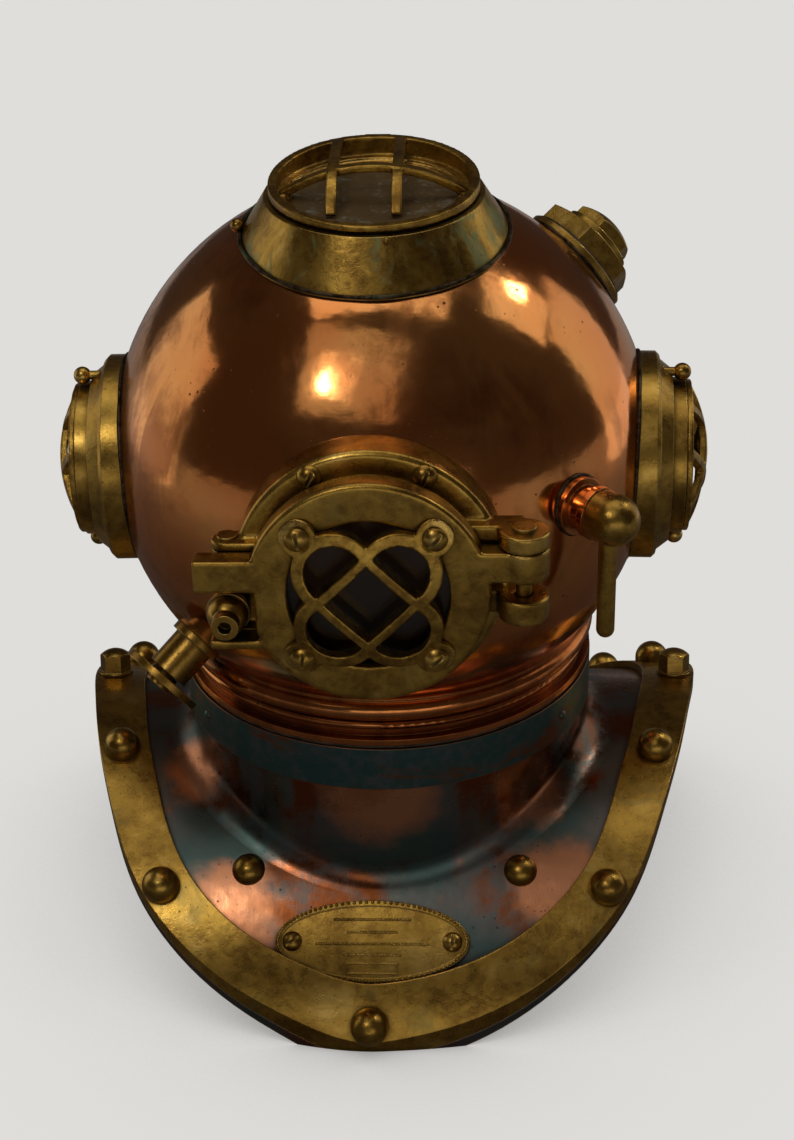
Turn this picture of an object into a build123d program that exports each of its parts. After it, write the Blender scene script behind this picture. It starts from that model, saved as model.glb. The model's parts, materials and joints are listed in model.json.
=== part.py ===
from build123d import *
import os
from math import asin, cos, hypot, radians, sin, sqrt, tan

# A copper and brass diving helmet, in millimetres. +Z is up, the wearer looks along -Y, and the
# origin lies on the surface that the helmet stands on, below the middle of its neck.

# Gaps and cutters
bedding = 0.05
fit_gap = 0.05
lip_gap = 0.1
running = 0.3
overrun = 10.0

# Copper breastplate: an arch along X with an upright neck
copper_wall = 2.5
neck_radius = 116.0
neck_fillet = 20.0
arch_spread, side_reach = 75.0, 74.0
arch_radius = neck_radius + arch_spread
arch_top = 112.0
arch_axis = arch_top - arch_radius
neck_rise = 36.0
neck_top = arch_top + neck_rise
lip_overhang = 2.6
ground_reach = sqrt(arch_radius**2 - arch_axis**2)
plate_half_width = neck_radius + side_reach
plate_half_depth = ground_reach + lip_overhang
# Half of the plate's outline seen from above, as shares of its half width and half depth
outline_shares = (
    (0.0, -1.0), (0.29, -0.96), (0.55, -0.86), (0.73, -0.7), (0.84, -0.45), (0.91, -0.2),
    (0.965, 0.08), (1.0, 0.34), (0.95, 0.62), (0.78, 0.84), (0.45, 0.965), (0.0, 1.0),
)

# Straps with their studs and nuts, whose places are shares of the half width and half depth
strap_thickness = 5.0
strap_lift = 0.2
strap_side_width = 32.5
strap_end_width = 16.5
strap_split_share = 0.351
strap_split_gap = 1.0
stud_radius = 4.0
stud_length = 13.0
stud_hole_gap = 0.3
dome_nut_shares = (
    (-0.037, -0.951), (-0.663, -0.681), (0.663, -0.681), (-0.83, -0.227), (0.83, -0.227),
    (-0.88, 0.521), (0.88, 0.521), (-0.735, 0.778), (0.735, 0.778), (0.0, 0.951),
)
shoulder_nut_shares = ((-0.93, 0.27), (0.93, 0.27))
dome_nut_radius = 10.5
dome_nut_foot = 3.0
dome_nut_rise = 10.0
shoulder_nut_radius = 9.6
shoulder_nut_height = 16.0
shoulder_nut_crown = 13.0
shoulder_washer_radius = 10.5
shoulder_washer_height = 1.5

# Rivets and nameplate on the copper front
rivet_gap, rivet_bearing = 19.5, 34.8
rivet_radius = 9.5
rivet_rise = 7.0
rivet_sink = 0.3
nameplate_offset = 6.0
nameplate_upper_gap, nameplate_lower_gap = 2.0, 7.0
nameplate_half_width = 54.5
neck_slope = asin(neck_radius / arch_radius)
fillet_reach = neck_radius + neck_fillet * tan(radians(45) - neck_slope / 2) * cos(neck_slope)
nameplate_high = asin(fillet_reach / arch_radius) + nameplate_upper_gap / arch_radius
nameplate_low = asin((plate_half_depth - strap_end_width) / arch_radius) - nameplate_lower_gap / arch_radius
nameplate_half_height = arch_radius * sin((nameplate_low - nameplate_high) / 2)
nameplate_place = (-nameplate_offset, -arch_radius * sin((nameplate_low + nameplate_high) / 2))
nameplate_thickness = 1.5
nameplate_rim = 3.0
nameplate_rim_rise = 1.0
nameplate_box_width, nameplate_box_height = 29.0, 6.5
nameplate_box_inset = 8.2
nameplate_box_line = 1.0
nameplate_screw_inset = 9.5
nameplate_screw_radius = 5.6
nameplate_screw_rise = 3.0
nameplate_screw_angles = (35.0, 80.0)

# Neck rings, with an interrupted thread of four lugs that an eighth of a turn frees
collar_wall = 4.0
collar_radius = neck_radius + collar_wall
throat_step = 5.0
collar_throat = neck_radius - throat_step
collar_grip = 11.0
collar_foot = neck_top - collar_grip
lug_count = 4
lug_span = 40.0
lug_rise, lug_height, lug_cover = 7.0, 5.2, 2.8
upper_lug_foot = neck_top + lug_rise
collar_top = upper_lug_foot + lug_height + lug_cover
upper_lug_depth = 3.8
upper_lug_radius = collar_throat - upper_lug_depth
skirt_radius = upper_lug_radius - running
skirt_wall = 3.9
skirt_bore = skirt_radius - skirt_wall
skirt_foot = upper_lug_foot - running - lug_height
lug_clearance = 0.4
lug_reach = collar_throat - lug_clearance
gasket_thickness = 2.0
gasket_inset = 1.5
gasket_radius = collar_radius - gasket_inset
gasket_bore = collar_throat + lug_clearance
lip_inset = 0.5
lip_radius = collar_radius - lip_inset
lip_thickness = 3.6
ring_step = 5.0
ring_body_radius = collar_radius - ring_step
ring_foot = collar_top + gasket_thickness + lip_gap
ring_height = 27.9
small_bead_rise, small_bead_radius = 11.0, 2.6
large_bead_rise, large_bead_radius = 20.5, 6.0
land_step = 1.0
land_radius = neck_radius + land_step
land_height = 6.0
collar_rivet_radius = 3.0
collar_rivet_rise = 1.6
collar_rivet_angle = 58.0

# Copper sphere, cut off level where it stands on the beaded ring
sphere_spread = 36.0
sphere_radius = neck_radius + sphere_spread
sphere_foot = ring_foot + ring_height
sphere_height = sphere_foot + sqrt(sphere_radius**2 - land_radius**2)
saddle_share = 0.72
saddle_depth = saddle_share * sphere_radius

# Small screws
screw_shank = 2.5
slot_width = 1.7
slot_depth = 1.7

# Door, with its seal and glass. The front window's own axes are right, up and outward.
window_drop = 0.5
door_thickness = 12.2
door_edge = 1.6
door_opening = 40.0
recess_step, door_recess_depth = 6.5, 8.2
door_recess = door_opening + recess_step
seal_wall, seal_width, seal_depth = 2.1, 5.2, 2.2
seal_inner = door_recess + seal_wall
seal_outer = seal_inner + seal_width
door_rim = 6.2
door_radius = seal_outer + door_rim
glass_thickness = 4.9
glass_gasket = 1.6

# Front window frame
frame_rise = 6.0
frame_face = sphere_radius + frame_rise
frame_bore_step = 2.0
frame_bore = door_opening + frame_bore_step
seat_wall, seat_rise = 1.2, 7.5
frame_land = 13.0
frame_seat_radius = seal_outer + seat_wall
frame_radius = frame_seat_radius + frame_land
frame_seat = frame_face + seat_rise
frame_edge = 2.0
frame_screw_radius = frame_seat_radius + frame_land / 2
frame_screw_angle = 27.0
frame_screw_gap, frame_screw_rise = 0.2, 4.5
frame_screw_head = frame_land / 2 - frame_screw_gap
frame_screw_length = 12.0
frame_screw_angles = (70.0, 65.0, 20.0, 110.0)
door_back = frame_seat + running
door_face = door_back + door_thickness

# Door hinge, at the right
hinge_side_gap, hinge_front_step = 8.0, 2.5
hinge_offset = frame_radius + hinge_side_gap
hinge_depth = frame_seat + hinge_front_step
hinge_knuckle = 12.5
hinge_pin_radius = 4.0
door_knuckle_foot, door_knuckle_height = 6.8, 15.9
door_knuckle_top = door_knuckle_foot + door_knuckle_height
upper_knuckle_height = 8.5
upper_knuckle_foot = door_knuckle_top + running
upper_knuckle_top = upper_knuckle_foot + upper_knuckle_height
lower_knuckle_space, lower_knuckle_height = 10.3, 12.5
lower_knuckle_top = door_knuckle_foot - lower_knuckle_space
lower_knuckle_foot = lower_knuckle_top - lower_knuckle_height
hinge_head_radius, hinge_head_rise = 6.0, 2.0

# Swing bolt, at the left, in a notch between the door's lug and its hook
bolt_side_gap, bolt_sink = 2.0, 1.0
bolt_offset = frame_radius + bolt_side_gap
bolt_depth = frame_face - bolt_sink
ear_radius = 8.0
ear_thickness = 5.0
eye_radius = 7.5
bolt_pin_radius = 3.0
bolt_head_radius, bolt_head_rise = 5.0, 1.6
shank_radius = 4.5
shank_drop = 13.0
nut_flange_radius, nut_flange_height = 11.0, 3.0
nut_seat_step = 3.5
nut_foot = bolt_depth + eye_radius + nut_seat_step
nut_ball_radius, nut_ball_step = 10.3, 4.5
nut_ball_depth = nut_foot + nut_ball_step
nut_nose_radius, nut_nose_length = 6.8, 14.0
nut_nose_end = nut_ball_depth + nut_nose_length
nut_hole_radius = 3.3
nut_hole_depth, nut_hole_floor = 5.0, 0.5
shank_end = nut_nose_end - nut_hole_depth - nut_hole_floor
notch_side_gap = 3.3
notch_edge = bolt_offset - nut_flange_radius - notch_side_gap
lug_gap, hook_gap = 3.6, 1.5
lug_foot = nut_flange_radius + lug_gap - shank_drop
notch_foot = -shank_drop - nut_flange_radius - hook_gap
door_lug_height, hook_thickness = 16.9, 4.6
lug_top = lug_foot + door_lug_height
lug_overhang, hook_overhang = 15.5, 9.0
ear_step = 1.5
upper_ear_foot = lug_top - ear_step
lower_ear_foot = notch_foot - hook_thickness

# Door guard
guard_spacing = 15.5
guard_wall = 6.2
guard_opening = 15.0
guard_lobe = guard_opening + guard_wall
guard_bar_inner, guard_bar_width = 14.6, 4.8
guard_boss_spacing = 33.0
guard_boss = 9.5
guard_boss_height, guard_crown_rise = 4.6, 6.4
guard_boss_top = door_face + guard_boss_height
guard_crown = guard_boss_top + guard_crown_rise
guard_crown_radius = 150.0
guard_screw_head, guard_screw_rise = 6.3, 3.4
guard_screw_depth = 3.2
guard_screw_angles = (85.0, 100.0, 40.0, 50.0)

# Side windows, a little forward and below the middle of the sphere
side_window_angle = 2.5
side_window_drop = 3.0
side_flange_radius, side_flange_rise = 58.0, 2.0
side_step, side_waist_step, side_ring_step = 4.0, 5.5, 5.0
side_step_radius = side_flange_radius - side_step
side_waist_radius = side_step_radius - side_waist_step
side_ring_radius = side_waist_radius - side_ring_step
side_waist_height, side_ring_height = 7.0, 7.6
side_flange_top = sphere_radius + side_flange_rise
side_waist_top = side_flange_top + side_waist_height
side_ring_top = side_waist_top + side_ring_height
side_ring_wall, side_seat_width, side_seat_rise = 2.5, 5.0, 2.0
side_glass_radius = side_ring_radius - side_ring_wall
side_bore = side_glass_radius - side_seat_width
side_glass_seat = side_flange_top + side_seat_rise
side_glass_thickness = 5.4
side_rim_cover, side_rim_height, side_rim_step = 1.4, 3.4, 2.0
side_dome_inset, side_dome_rise = 2.4, 10.5
side_bar_offset, side_bar_width, side_bar_depth = 13.5, 5.0, 4.2
side_screw_radius = 50.0
side_screw_ball, side_screw_rise, side_screw_depth = 4.9, 5.2, 3.0

# Top window, tilted forward on an axis a little ahead of the sphere's middle
top_tilt = 6.0
top_forward = 5.7
top_bore, top_seat_width, top_glass_step, top_cone_wall = 43.0, 5.0, 5.0, 4.8
top_glass_radius = top_bore + top_seat_width
top_recess_radius = top_glass_radius + top_glass_step
top_cone_radius, top_cone_spread = top_recess_radius + top_cone_wall, 18.4
top_base_radius = top_cone_radius + top_cone_spread
top_seat_rise, top_glass_thickness, top_clamp, top_recess_depth = 1.6, 4.6, 1.0, 1.2
top_seat = sqrt(sphere_radius**2 - (top_glass_radius - top_forward) ** 2) + top_seat_rise
top_recess = top_seat + glass_gasket + top_glass_thickness + top_clamp
top_cone = top_recess + top_recess_depth
top_base_sink = 2.0
top_base = sqrt(sphere_radius**2 - (top_base_radius + top_forward) ** 2) - top_base_sink
top_cone_height = top_cone - top_base
top_floor_width, top_floor_thickness = 7.0, 1.5
top_rim_wall, top_rim_cover, top_rim_height, top_rim_gap = 2.5, 2.2, 7.4, 1.4
top_rim_tilt = 3.0
top_floor_bore = top_recess_radius - top_floor_width
top_rim_bore = top_recess_radius - top_rim_wall
top_rim_radius = top_recess_radius + top_rim_cover
top_rim_top = top_cone + top_rim_height
top_bar_width, top_bar_depth = 5.6, 4.0
# The long bars' places and their line seen from the side, as shares of the rim's bore
long_bar_shares = (-0.416, 0.25)
long_line_shares = (
    (-0.6, 0.0), (-0.48, 0.13), (-0.32, 0.23), (-0.12, 0.285), (0.12, 0.295), (0.4, 0.275),
    (0.72, 0.25), (1.02, 0.19),
)
cross_bar_share, cross_rise_share = -0.04, 0.317
top_ball_radius, top_ball_rise, top_ball_angle = 3.7, 11.0, 182.0
top_pin_radius, top_pin_drop, top_pin_angle = 1.6, 1.8, -82.0
pin_shank, pin_sink = 1.25, 1.5

# Exhaust valve, low at the left
exhaust_way = (-0.6545, -0.4755, -0.5878)
exhaust_lift = 8.0
exhaust_radius, exhaust_wall = 12.0, 3.0
exhaust_bore = exhaust_radius - exhaust_wall
exhaust_length, exhaust_cap = 29.0, 4.0
exhaust_end = sphere_radius + exhaust_length
exhaust_flange_radius, exhaust_flange_rise = 15.0, 7.5
exhaust_seat_step, exhaust_seat_rise, exhaust_seat_thickness = 3.5, 5.0, 3.0
exhaust_seat_bore = exhaust_bore - exhaust_seat_step
exhaust_seat_top = sphere_radius + exhaust_seat_rise + exhaust_seat_thickness
valve_side_gap, valve_thickness = 1.0, 2.4
valve_radius = exhaust_bore - valve_side_gap
valve_stem_radius, valve_stem_drop = 2.0, 3.5
valve_seat_gap, valve_travel = 0.1, 4.0
wheel_spigot_radius, wheel_spigot_length = 5.0, 6.0
wheel_hub_radius, wheel_hub_height = 7.5, 9.0
wheel_radius, wheel_rim, wheel_gap, wheel_depth, wheel_web = 24.0, 2.2, 2.6, 4.0, 1.2

# Spitcock, at the right
spitcock_angle = 44.0
spitcock_lift = 15.0
stub_radius = 12.0
stub_flange_radius, stub_flange_rise = 15.5, 2.0
stub_length, stub_collar_radius, stub_collar_width = 14.0, 13.9, 4.0
spindle_radius, spindle_root = 5.0, 1.0
key_radius, key_length = 13.4, 9.5
lever_step, lever_radius, lever_root, lever_reach = 6.0, 4.8, 7.0, 64.0

# Air inlet, high at the right of the back
inlet_way = (0.713, 0.41, 0.569)
inlet_flange_radius, inlet_flange_rise = 34.0, 2.0
inlet_stub_radius, inlet_stub_height, inlet_wall = 13.0, 12.0, 4.0
inlet_bore = inlet_stub_radius - inlet_wall
inlet_flange_top = sphere_radius + inlet_flange_rise
inlet_stub_top = inlet_flange_top + inlet_stub_height
washer_overhang, washer_thickness = 0.5, 1.5
cap_radius, cap_height = 32.0, 10.0
cap_crown, cap_boss_radius, cap_boss_height = 3.2, 21.5, 3.0
plug_radius, plug_height = 20.0, 12.0
plug_crown = 34.0
plug_stem_radius, plug_stem_length = 8.0, 9.0
cap_foot = inlet_flange_top + washer_thickness
cap_shoulder = cap_foot + cap_height + cap_crown
cap_top = cap_shoulder + cap_boss_height

middle = (0, 0, sphere_height)
upright = (Align.CENTER, Align.CENTER, Align.MIN)


def rod(radius, low, high):
    """A round bar along the local Z axis, from low to high."""
    return Pos(0, 0, low) * Cylinder(radius, high - low, align=upright)


def sleeve(outer, inner, low, high):
    """A round tube along the local Z axis."""
    return rod(outer, low, high) - rod(inner, low - overrun, high + overrun)


def cross_rod(x, z, radius, low, high):
    """A round bar along the local Y axis, through the place x, z."""
    return Pos(x, low, z) * Rot(-90, 0, 0) * Cylinder(radius, high - low, align=upright)


def block(x, y, z):
    """A block between the pairs of limits x, y and z."""
    size = [high - low for low, high in (x, y, z)]
    return Pos(x[0], y[0], z[0]) * Box(*size, align=(Align.MIN,) * 3)


def turned(points):
    """The solid that an outline of (radius, height) points sweeps round the local Z axis."""
    return revolve(Plane.XZ * make_face(Polyline(*points, close=True)), Axis.Z)


def cap(radius, rise):
    """A round head with a spherical top, standing on the local plane."""
    ball = (radius**2 + rise**2) / (2 * rise)
    return Pos(0, 0, rise - ball) * Sphere(ball) & rod(radius, 0, rise)


def slotted_screw(head, rise, length, turn):
    """A screw with a domed, slotted head that stands on the local plane."""
    body = cap(head, rise) + rod(screw_shank, -length, rise / 2)
    slot = block((-head, head), (-slot_width / 2, slot_width / 2), (rise - slot_depth, rise + overrun))
    return body - Rot(0, 0, turn) * slot


def hexagon(radius, low, high):
    """A hexagonal bar along the local Z axis."""
    return Pos(0, 0, low) * extrude(RegularPolygon(radius, 6), high - low)


def placed(plane, piece):
    return plane.location * piece


def bedded(piece):
    """What of a piece lies outside the copper sphere."""
    return piece - Pos(*middle) * Rot(90, 0, 0) * Sphere(sphere_radius + bedding)


def group(pieces):
    """Separate solids that share one node."""
    return Compound([solid for piece in pieces for solid in piece.solids()])


def turned_line(points, depth):
    """A flat band's outline in the local YZ plane: a smooth line and its parallel, depth below it."""
    lower = []
    for index, (y, z) in enumerate(points):
        before, after = points[max(index - 1, 0)], points[min(index + 1, len(points) - 1)]
        along = (after[0] - before[0], after[1] - before[1])
        reach = depth / hypot(*along)
        lower.append((y + along[1] * reach, z - along[0] * reach))
    edges = [
        Spline(*points), Line(points[-1], lower[-1]), Spline(*reversed(lower)), Line(lower[0], points[0]),
    ]
    return Plane.YZ * make_face(edges)


front = Plane(
    origin=(0, 0, sphere_height - window_drop), x_dir=(1, 0, 0), z_dir=(0, -1, 0)
)
top = Plane(
    origin=(0, -top_forward * cos(radians(top_tilt)), sphere_height - top_forward * sin(radians(top_tilt))),
    x_dir=(1, 0, 0), z_dir=(0, -sin(radians(top_tilt)), cos(radians(top_tilt))),
)


def side_plane(side):
    """The axes of a side window: forward or rearward, up and outward."""
    turn = radians(side_window_angle)
    return Plane(
        origin=(0, 0, sphere_height - side_window_drop),
        x_dir=(side * sin(turn), cos(turn), 0), z_dir=(side * cos(turn), -sin(turn), 0),
    )


left, right = side_plane(-1), side_plane(1)
exhaust = Plane(origin=(0, 0, sphere_height + exhaust_lift), z_dir=exhaust_way)
inlet = Plane(origin=middle, z_dir=inlet_way)
spitcock = Plane(
    origin=(0, 0, sphere_height + spitcock_lift),
    x_dir=(cos(radians(spitcock_angle)), sin(radians(spitcock_angle)), 0),
    z_dir=(sin(radians(spitcock_angle)), -cos(radians(spitcock_angle)), 0),
)


def arch(lift):
    """The breastplate's arched form, grown by lift."""
    length = 2 * (plate_half_width + overrun)
    return Pos(0, 0, arch_axis) * Rot(0, 90, 0) * Cylinder(arch_radius + lift, length)


def arch_plane(place, lift=0.0):
    """The plane on the arch above or below a place, raised by lift."""
    turn, reach = asin(-place[1] / arch_radius), arch_radius + lift
    spot = (place[0], -reach * sin(turn), arch_axis + reach * cos(turn))
    return Plane(origin=spot, x_dir=(1, 0, 0), z_dir=(0, -sin(turn), cos(turn)))


def nut_places(shares):
    return [(plate_half_width * x, plate_half_depth * y) for x, y in shares]


def outline(side_inset, end_inset):
    """An upright block with the plate's outline, drawn in at the sides and the ends."""
    width, depth = plate_half_width - side_inset, plate_half_depth - end_inset
    half = [(width * x, depth * y) for x, y in outline_shares]
    points = half + [(-x, y) for x, y in half[-2:0:-1]]
    return extrude(make_face(Spline(*points, periodic=True)), neck_top + overrun)


def filleted_saddle(lift, height, radius):
    """The arch with its neck, blended where they meet."""
    neck = neck_radius + lift
    body = arch(lift) + rod(neck, arch_axis, height)
    foot = arch_axis + sqrt((arch_radius + lift) ** 2 - neck**2)
    joint = [
        edge for edge in body.edges()
        if edge.geom_type != GeomType.LINE
        and foot - copper_wall < edge.center().Z < arch_top + copper_wall
        and max(abs(edge.center().X), abs(edge.center().Y)) < neck + copper_wall
    ]
    return fillet(joint, radius)


def breastplate_shell():
    outer = filleted_saddle(0, neck_top, neck_fillet)
    inner = filleted_saddle(-copper_wall, neck_top + overrun, neck_fillet + copper_wall)
    return (outer - inner) & outline(0, 0)


def strap(near, far):
    """One U-shaped strap, between two places along Y."""
    band = arch(strap_lift + strap_thickness) - arch(strap_lift)
    band &= outline(0, 0)
    band -= outline(strap_side_width, strap_end_width)
    band &= block((-plate_half_width, plate_half_width), (near, far), (0, arch_top + overrun))
    for place in nut_places(dome_nut_shares + shoulder_nut_shares):
        hole = rod(stud_radius + stud_hole_gap, -overrun, stud_length)
        band -= placed(arch_plane(place), hole)
    return band


def front_strap():
    return strap(-plate_half_depth - overrun, strap_split_share * plate_half_depth)


def rear_strap():
    split = strap_split_share * plate_half_depth + strap_split_gap
    return strap(split, plate_half_depth + overrun)


def strap_studs():
    stud = rod(stud_radius, 0, stud_length)
    places = nut_places(dome_nut_shares + shoulder_nut_shares)
    return group(placed(arch_plane(place), stud) for place in places)


def strap_dome_nuts():
    nut = rod(dome_nut_radius, 0, dome_nut_foot)
    nut += Pos(0, 0, dome_nut_foot) * cap(dome_nut_radius, dome_nut_rise)
    seat = strap_lift + strap_thickness
    nut -= rod(stud_radius + fit_gap, -overrun, stud_length - seat + fit_gap)
    return group(placed(arch_plane(place, seat), nut) for place in nut_places(dome_nut_shares))


def shoulder_nuts():
    seat = strap_lift + strap_thickness
    nut = hexagon(shoulder_nut_radius, shoulder_washer_height, shoulder_nut_height)
    nut &= Pos(0, 0, shoulder_nut_height - shoulder_nut_crown) * Sphere(shoulder_nut_crown)
    nut += rod(shoulder_washer_radius, 0, shoulder_washer_height)
    nut -= rod(stud_radius + fit_gap, -overrun, stud_length - seat + fit_gap)
    return group(placed(arch_plane(place, seat), nut) for place in nut_places(shoulder_nut_shares))


def plate_rivets():
    rivet = cap(rivet_radius, rivet_rise)
    reach, turn = neck_radius + rivet_gap, radians(rivet_bearing)
    places = [(side * reach * sin(turn), -reach * cos(turn)) for side in (-1, 1)]
    return group(placed(arch_plane(place, -rivet_sink), rivet) - arch(bedding) for place in places)


def oval(inset):
    size = (nameplate_half_width - inset, nameplate_half_height - inset)
    return extrude(Ellipse(*size), nameplate_half_height, both=True)


def nameplate():
    """An oval plate bent to the arch, with a raised border and an empty raised box."""
    spot = arch_plane(nameplate_place)
    skin = arch(bedding)
    whole = placed(spot, oval(0))
    field = placed(spot, oval(nameplate_rim))
    box_line = Rectangle(nameplate_box_width, nameplate_box_height) - Rectangle(
        nameplate_box_width - 2 * nameplate_box_line, nameplate_box_height - 2 * nameplate_box_line
    )
    box_drop = nameplate_half_height - nameplate_box_inset
    frame = Pos(0, -box_drop, 0) * extrude(box_line, nameplate_half_height, both=True)
    raised = (arch(bedding + nameplate_thickness + nameplate_rim_rise) - skin) & (
        (whole - field) + placed(spot, frame)
    )
    sheet = (arch(bedding + nameplate_thickness) - skin) & whole
    for side in (-1, 1):
        x = side * (nameplate_half_width - nameplate_screw_inset)
        sheet -= placed(spot, Pos(x, 0, 0) * rod(screw_shank + fit_gap, -overrun, overrun))
    return sheet + raised


def nameplate_screws():
    lift = bedding + nameplate_thickness
    spot = arch_plane(nameplate_place, lift)
    screws = []
    for side, angle in zip((-1, 1), nameplate_screw_angles):
        x = side * (nameplate_half_width - nameplate_screw_inset)
        head = slotted_screw(nameplate_screw_radius, nameplate_screw_rise, nameplate_thickness, angle)
        shank = Pos(x, 0, 0) * rod(screw_shank, -overrun, overrun)
        screws.append(placed(spot, Pos(x, 0, 0) * head) - (arch(lift) - placed(spot, shank)))
    return group(screws)


def thread_lugs(inner, outer, foot):
    """The four lugs of one half of the interrupted thread."""
    outline_face = Plane.XZ * Polygon(
        (inner, foot), (outer, foot), (outer, foot + lug_height), (inner, foot + lug_height), align=None
    )
    lug = revolve(outline_face, Axis.Z, lug_span)
    pitch = 360 / lug_count
    return [Rot(0, 0, index * pitch - lug_span / 2) * lug for index in range(lug_count)]


def neck_collar_ring():
    ring = sleeve(collar_radius, collar_throat, collar_foot, collar_top)
    ring -= rod(neck_radius + fit_gap, collar_foot - overrun, neck_top + fit_gap)
    for lug in thread_lugs(upper_lug_radius, collar_throat + fit_gap, upper_lug_foot):
        ring += lug
    return ring


def collar_rivets():
    height = (collar_foot + collar_top) / 2
    head = cap(collar_rivet_radius, collar_rivet_rise)
    heads = []
    for way in (-1, 1):
        for side in (-1, 1):
            turn = radians(collar_rivet_angle)
            out = (side * sin(turn), way * cos(turn), 0)
            spot = Plane(origin=(out[0] * collar_radius, out[1] * collar_radius, height), z_dir=out)
            heads.append(placed(spot, head) - rod(collar_radius + bedding, collar_foot, collar_top))
    return group(heads)


def neck_gasket():
    return sleeve(gasket_radius, gasket_bore, collar_top, collar_top + gasket_thickness)


def bonnet_neck_ring():
    """The beaded ring below the sphere, with a skirt that carries the lower lugs."""
    foot = ring_foot
    ring = rod(ring_body_radius, foot, sphere_foot) + rod(lip_radius, foot, foot + lip_thickness)
    ring += rod(land_radius, sphere_foot - land_height, sphere_foot)
    ring += Pos(0, 0, foot + small_bead_rise) * Torus(ring_body_radius, small_bead_radius)
    ring += Pos(0, 0, foot + large_bead_rise) * Torus(ring_body_radius, large_bead_radius)
    ring += rod(skirt_radius, skirt_foot, foot + lip_thickness)
    for lug in thread_lugs(skirt_radius - fit_gap, lug_reach, skirt_foot):
        ring += lug
    return ring - rod(skirt_bore, skirt_foot - overrun, sphere_foot + overrun)


def bonnet_shell():
    shell = Pos(*middle) * (Sphere(sphere_radius) - Sphere(sphere_radius - copper_wall))
    width = sphere_radius + overrun
    shell &= block((-width, width), (-width, width), (sphere_foot, sphere_height + width))
    holes = (
        (front, frame_bore), (left, side_bore), (right, side_bore), (top, top_bore),
        (exhaust, exhaust_bore), (inlet, inlet_bore), (spitcock, spindle_radius + fit_gap),
    )
    for plane, radius in holes:
        shell -= placed(plane, rod(radius, sphere_radius / 2, width))
    return shell


def frame_screw_places():
    turns = [90 - frame_screw_angle, 90 + frame_screw_angle]
    turns += [-turn for turn in turns]
    return [
        (frame_screw_radius * cos(radians(turn)), frame_screw_radius * sin(radians(turn)))
        for turn in turns
    ]


def front_window_frame():
    """The fixed ring on the sphere, with the hinge knuckles and the ears of the swing bolt."""
    ring = turned((
        (0, saddle_depth), (frame_radius, saddle_depth), (frame_radius, frame_face - frame_edge),
        (frame_radius - frame_edge, frame_face), (frame_seat_radius, frame_face),
        (frame_seat_radius, frame_seat), (0, frame_seat),
    ))
    for low, high in ((upper_knuckle_foot, upper_knuckle_top), (lower_knuckle_foot, lower_knuckle_top)):
        ring += cross_rod(hinge_offset, hinge_depth, hinge_knuckle, low, high)
        ring += block((frame_bore, hinge_offset), (low, high), (sphere_radius, frame_seat))
    ring -= cross_rod(
        hinge_offset, hinge_depth, hinge_pin_radius + fit_gap, -frame_radius, frame_radius
    )
    for low in (upper_ear_foot, lower_ear_foot):
        high = low + ear_thickness
        ring += cross_rod(-bolt_offset, bolt_depth, ear_radius, low, high)
        ring += block(
            (-bolt_offset, -door_opening), (low, high), (bolt_depth - ear_radius, bolt_depth + ear_radius)
        )
    ring -= cross_rod(
        -bolt_offset, bolt_depth, eye_radius + running, lower_ear_foot + ear_thickness, upper_ear_foot
    )
    ring -= cross_rod(-bolt_offset, bolt_depth, bolt_pin_radius + fit_gap, -frame_radius, frame_radius)
    ring -= rod(frame_bore, saddle_depth - overrun, frame_seat + overrun)
    for x, y in frame_screw_places():
        ring -= Pos(x, y, 0) * rod(screw_shank + fit_gap, frame_face - frame_screw_length, frame_seat)
    return bedded(placed(front, ring))


def frame_screws():
    screws = []
    for (x, y), angle in zip(frame_screw_places(), frame_screw_angles):
        screw = slotted_screw(frame_screw_head, frame_screw_rise, frame_screw_length - running, angle)
        screws.append(placed(front, Pos(x, y, frame_face) * screw))
    return group(screws)


def hinge_pin():
    pin = cross_rod(
        hinge_offset, hinge_depth, hinge_pin_radius, lower_knuckle_foot - running, upper_knuckle_top
    )
    pin += cross_rod(
        hinge_offset, hinge_depth, hinge_head_radius, upper_knuckle_top, upper_knuckle_top + hinge_head_rise
    )
    return placed(front, pin)


def swing_bolt_pin():
    high = upper_ear_foot + ear_thickness
    pin = cross_rod(-bolt_offset, bolt_depth, bolt_pin_radius, lower_ear_foot - running, high)
    pin += cross_rod(-bolt_offset, bolt_depth, bolt_head_radius, high, high + bolt_head_rise)
    return placed(front, pin)


def swing_bolt():
    low, high = lower_ear_foot + ear_thickness + running, upper_ear_foot - running
    bolt = cross_rod(-bolt_offset, bolt_depth, eye_radius, low, high)
    bolt += Pos(-bolt_offset, -shank_drop, 0) * rod(shank_radius, bolt_depth, shank_end)
    bolt -= cross_rod(-bolt_offset, bolt_depth, bolt_pin_radius + fit_gap, low - overrun, high + overrun)
    return placed(front, bolt)


def clamp_nut():
    """The round nut on the swing bolt, with a ball flank and a nose with a hole."""
    nut = rod(nut_flange_radius, nut_foot, nut_foot + nut_flange_height)
    ball = Pos(0, 0, nut_ball_depth) * Sphere(nut_ball_radius)
    nut += ball & rod(nut_flange_radius, nut_foot, nut_nose_end)
    nut += rod(nut_nose_radius, nut_ball_depth, nut_nose_end)
    nut -= rod(shank_radius + fit_gap, nut_foot - overrun, shank_end + running)
    nut -= rod(nut_hole_radius, nut_nose_end - nut_hole_depth, nut_nose_end + overrun)
    return placed(front, Pos(-bolt_offset, -shank_drop, 0) * nut)


def guard_corners(spacing):
    return [(x * spacing, y * spacing) for x in (-1, 1) for y in (-1, 1)]


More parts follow.
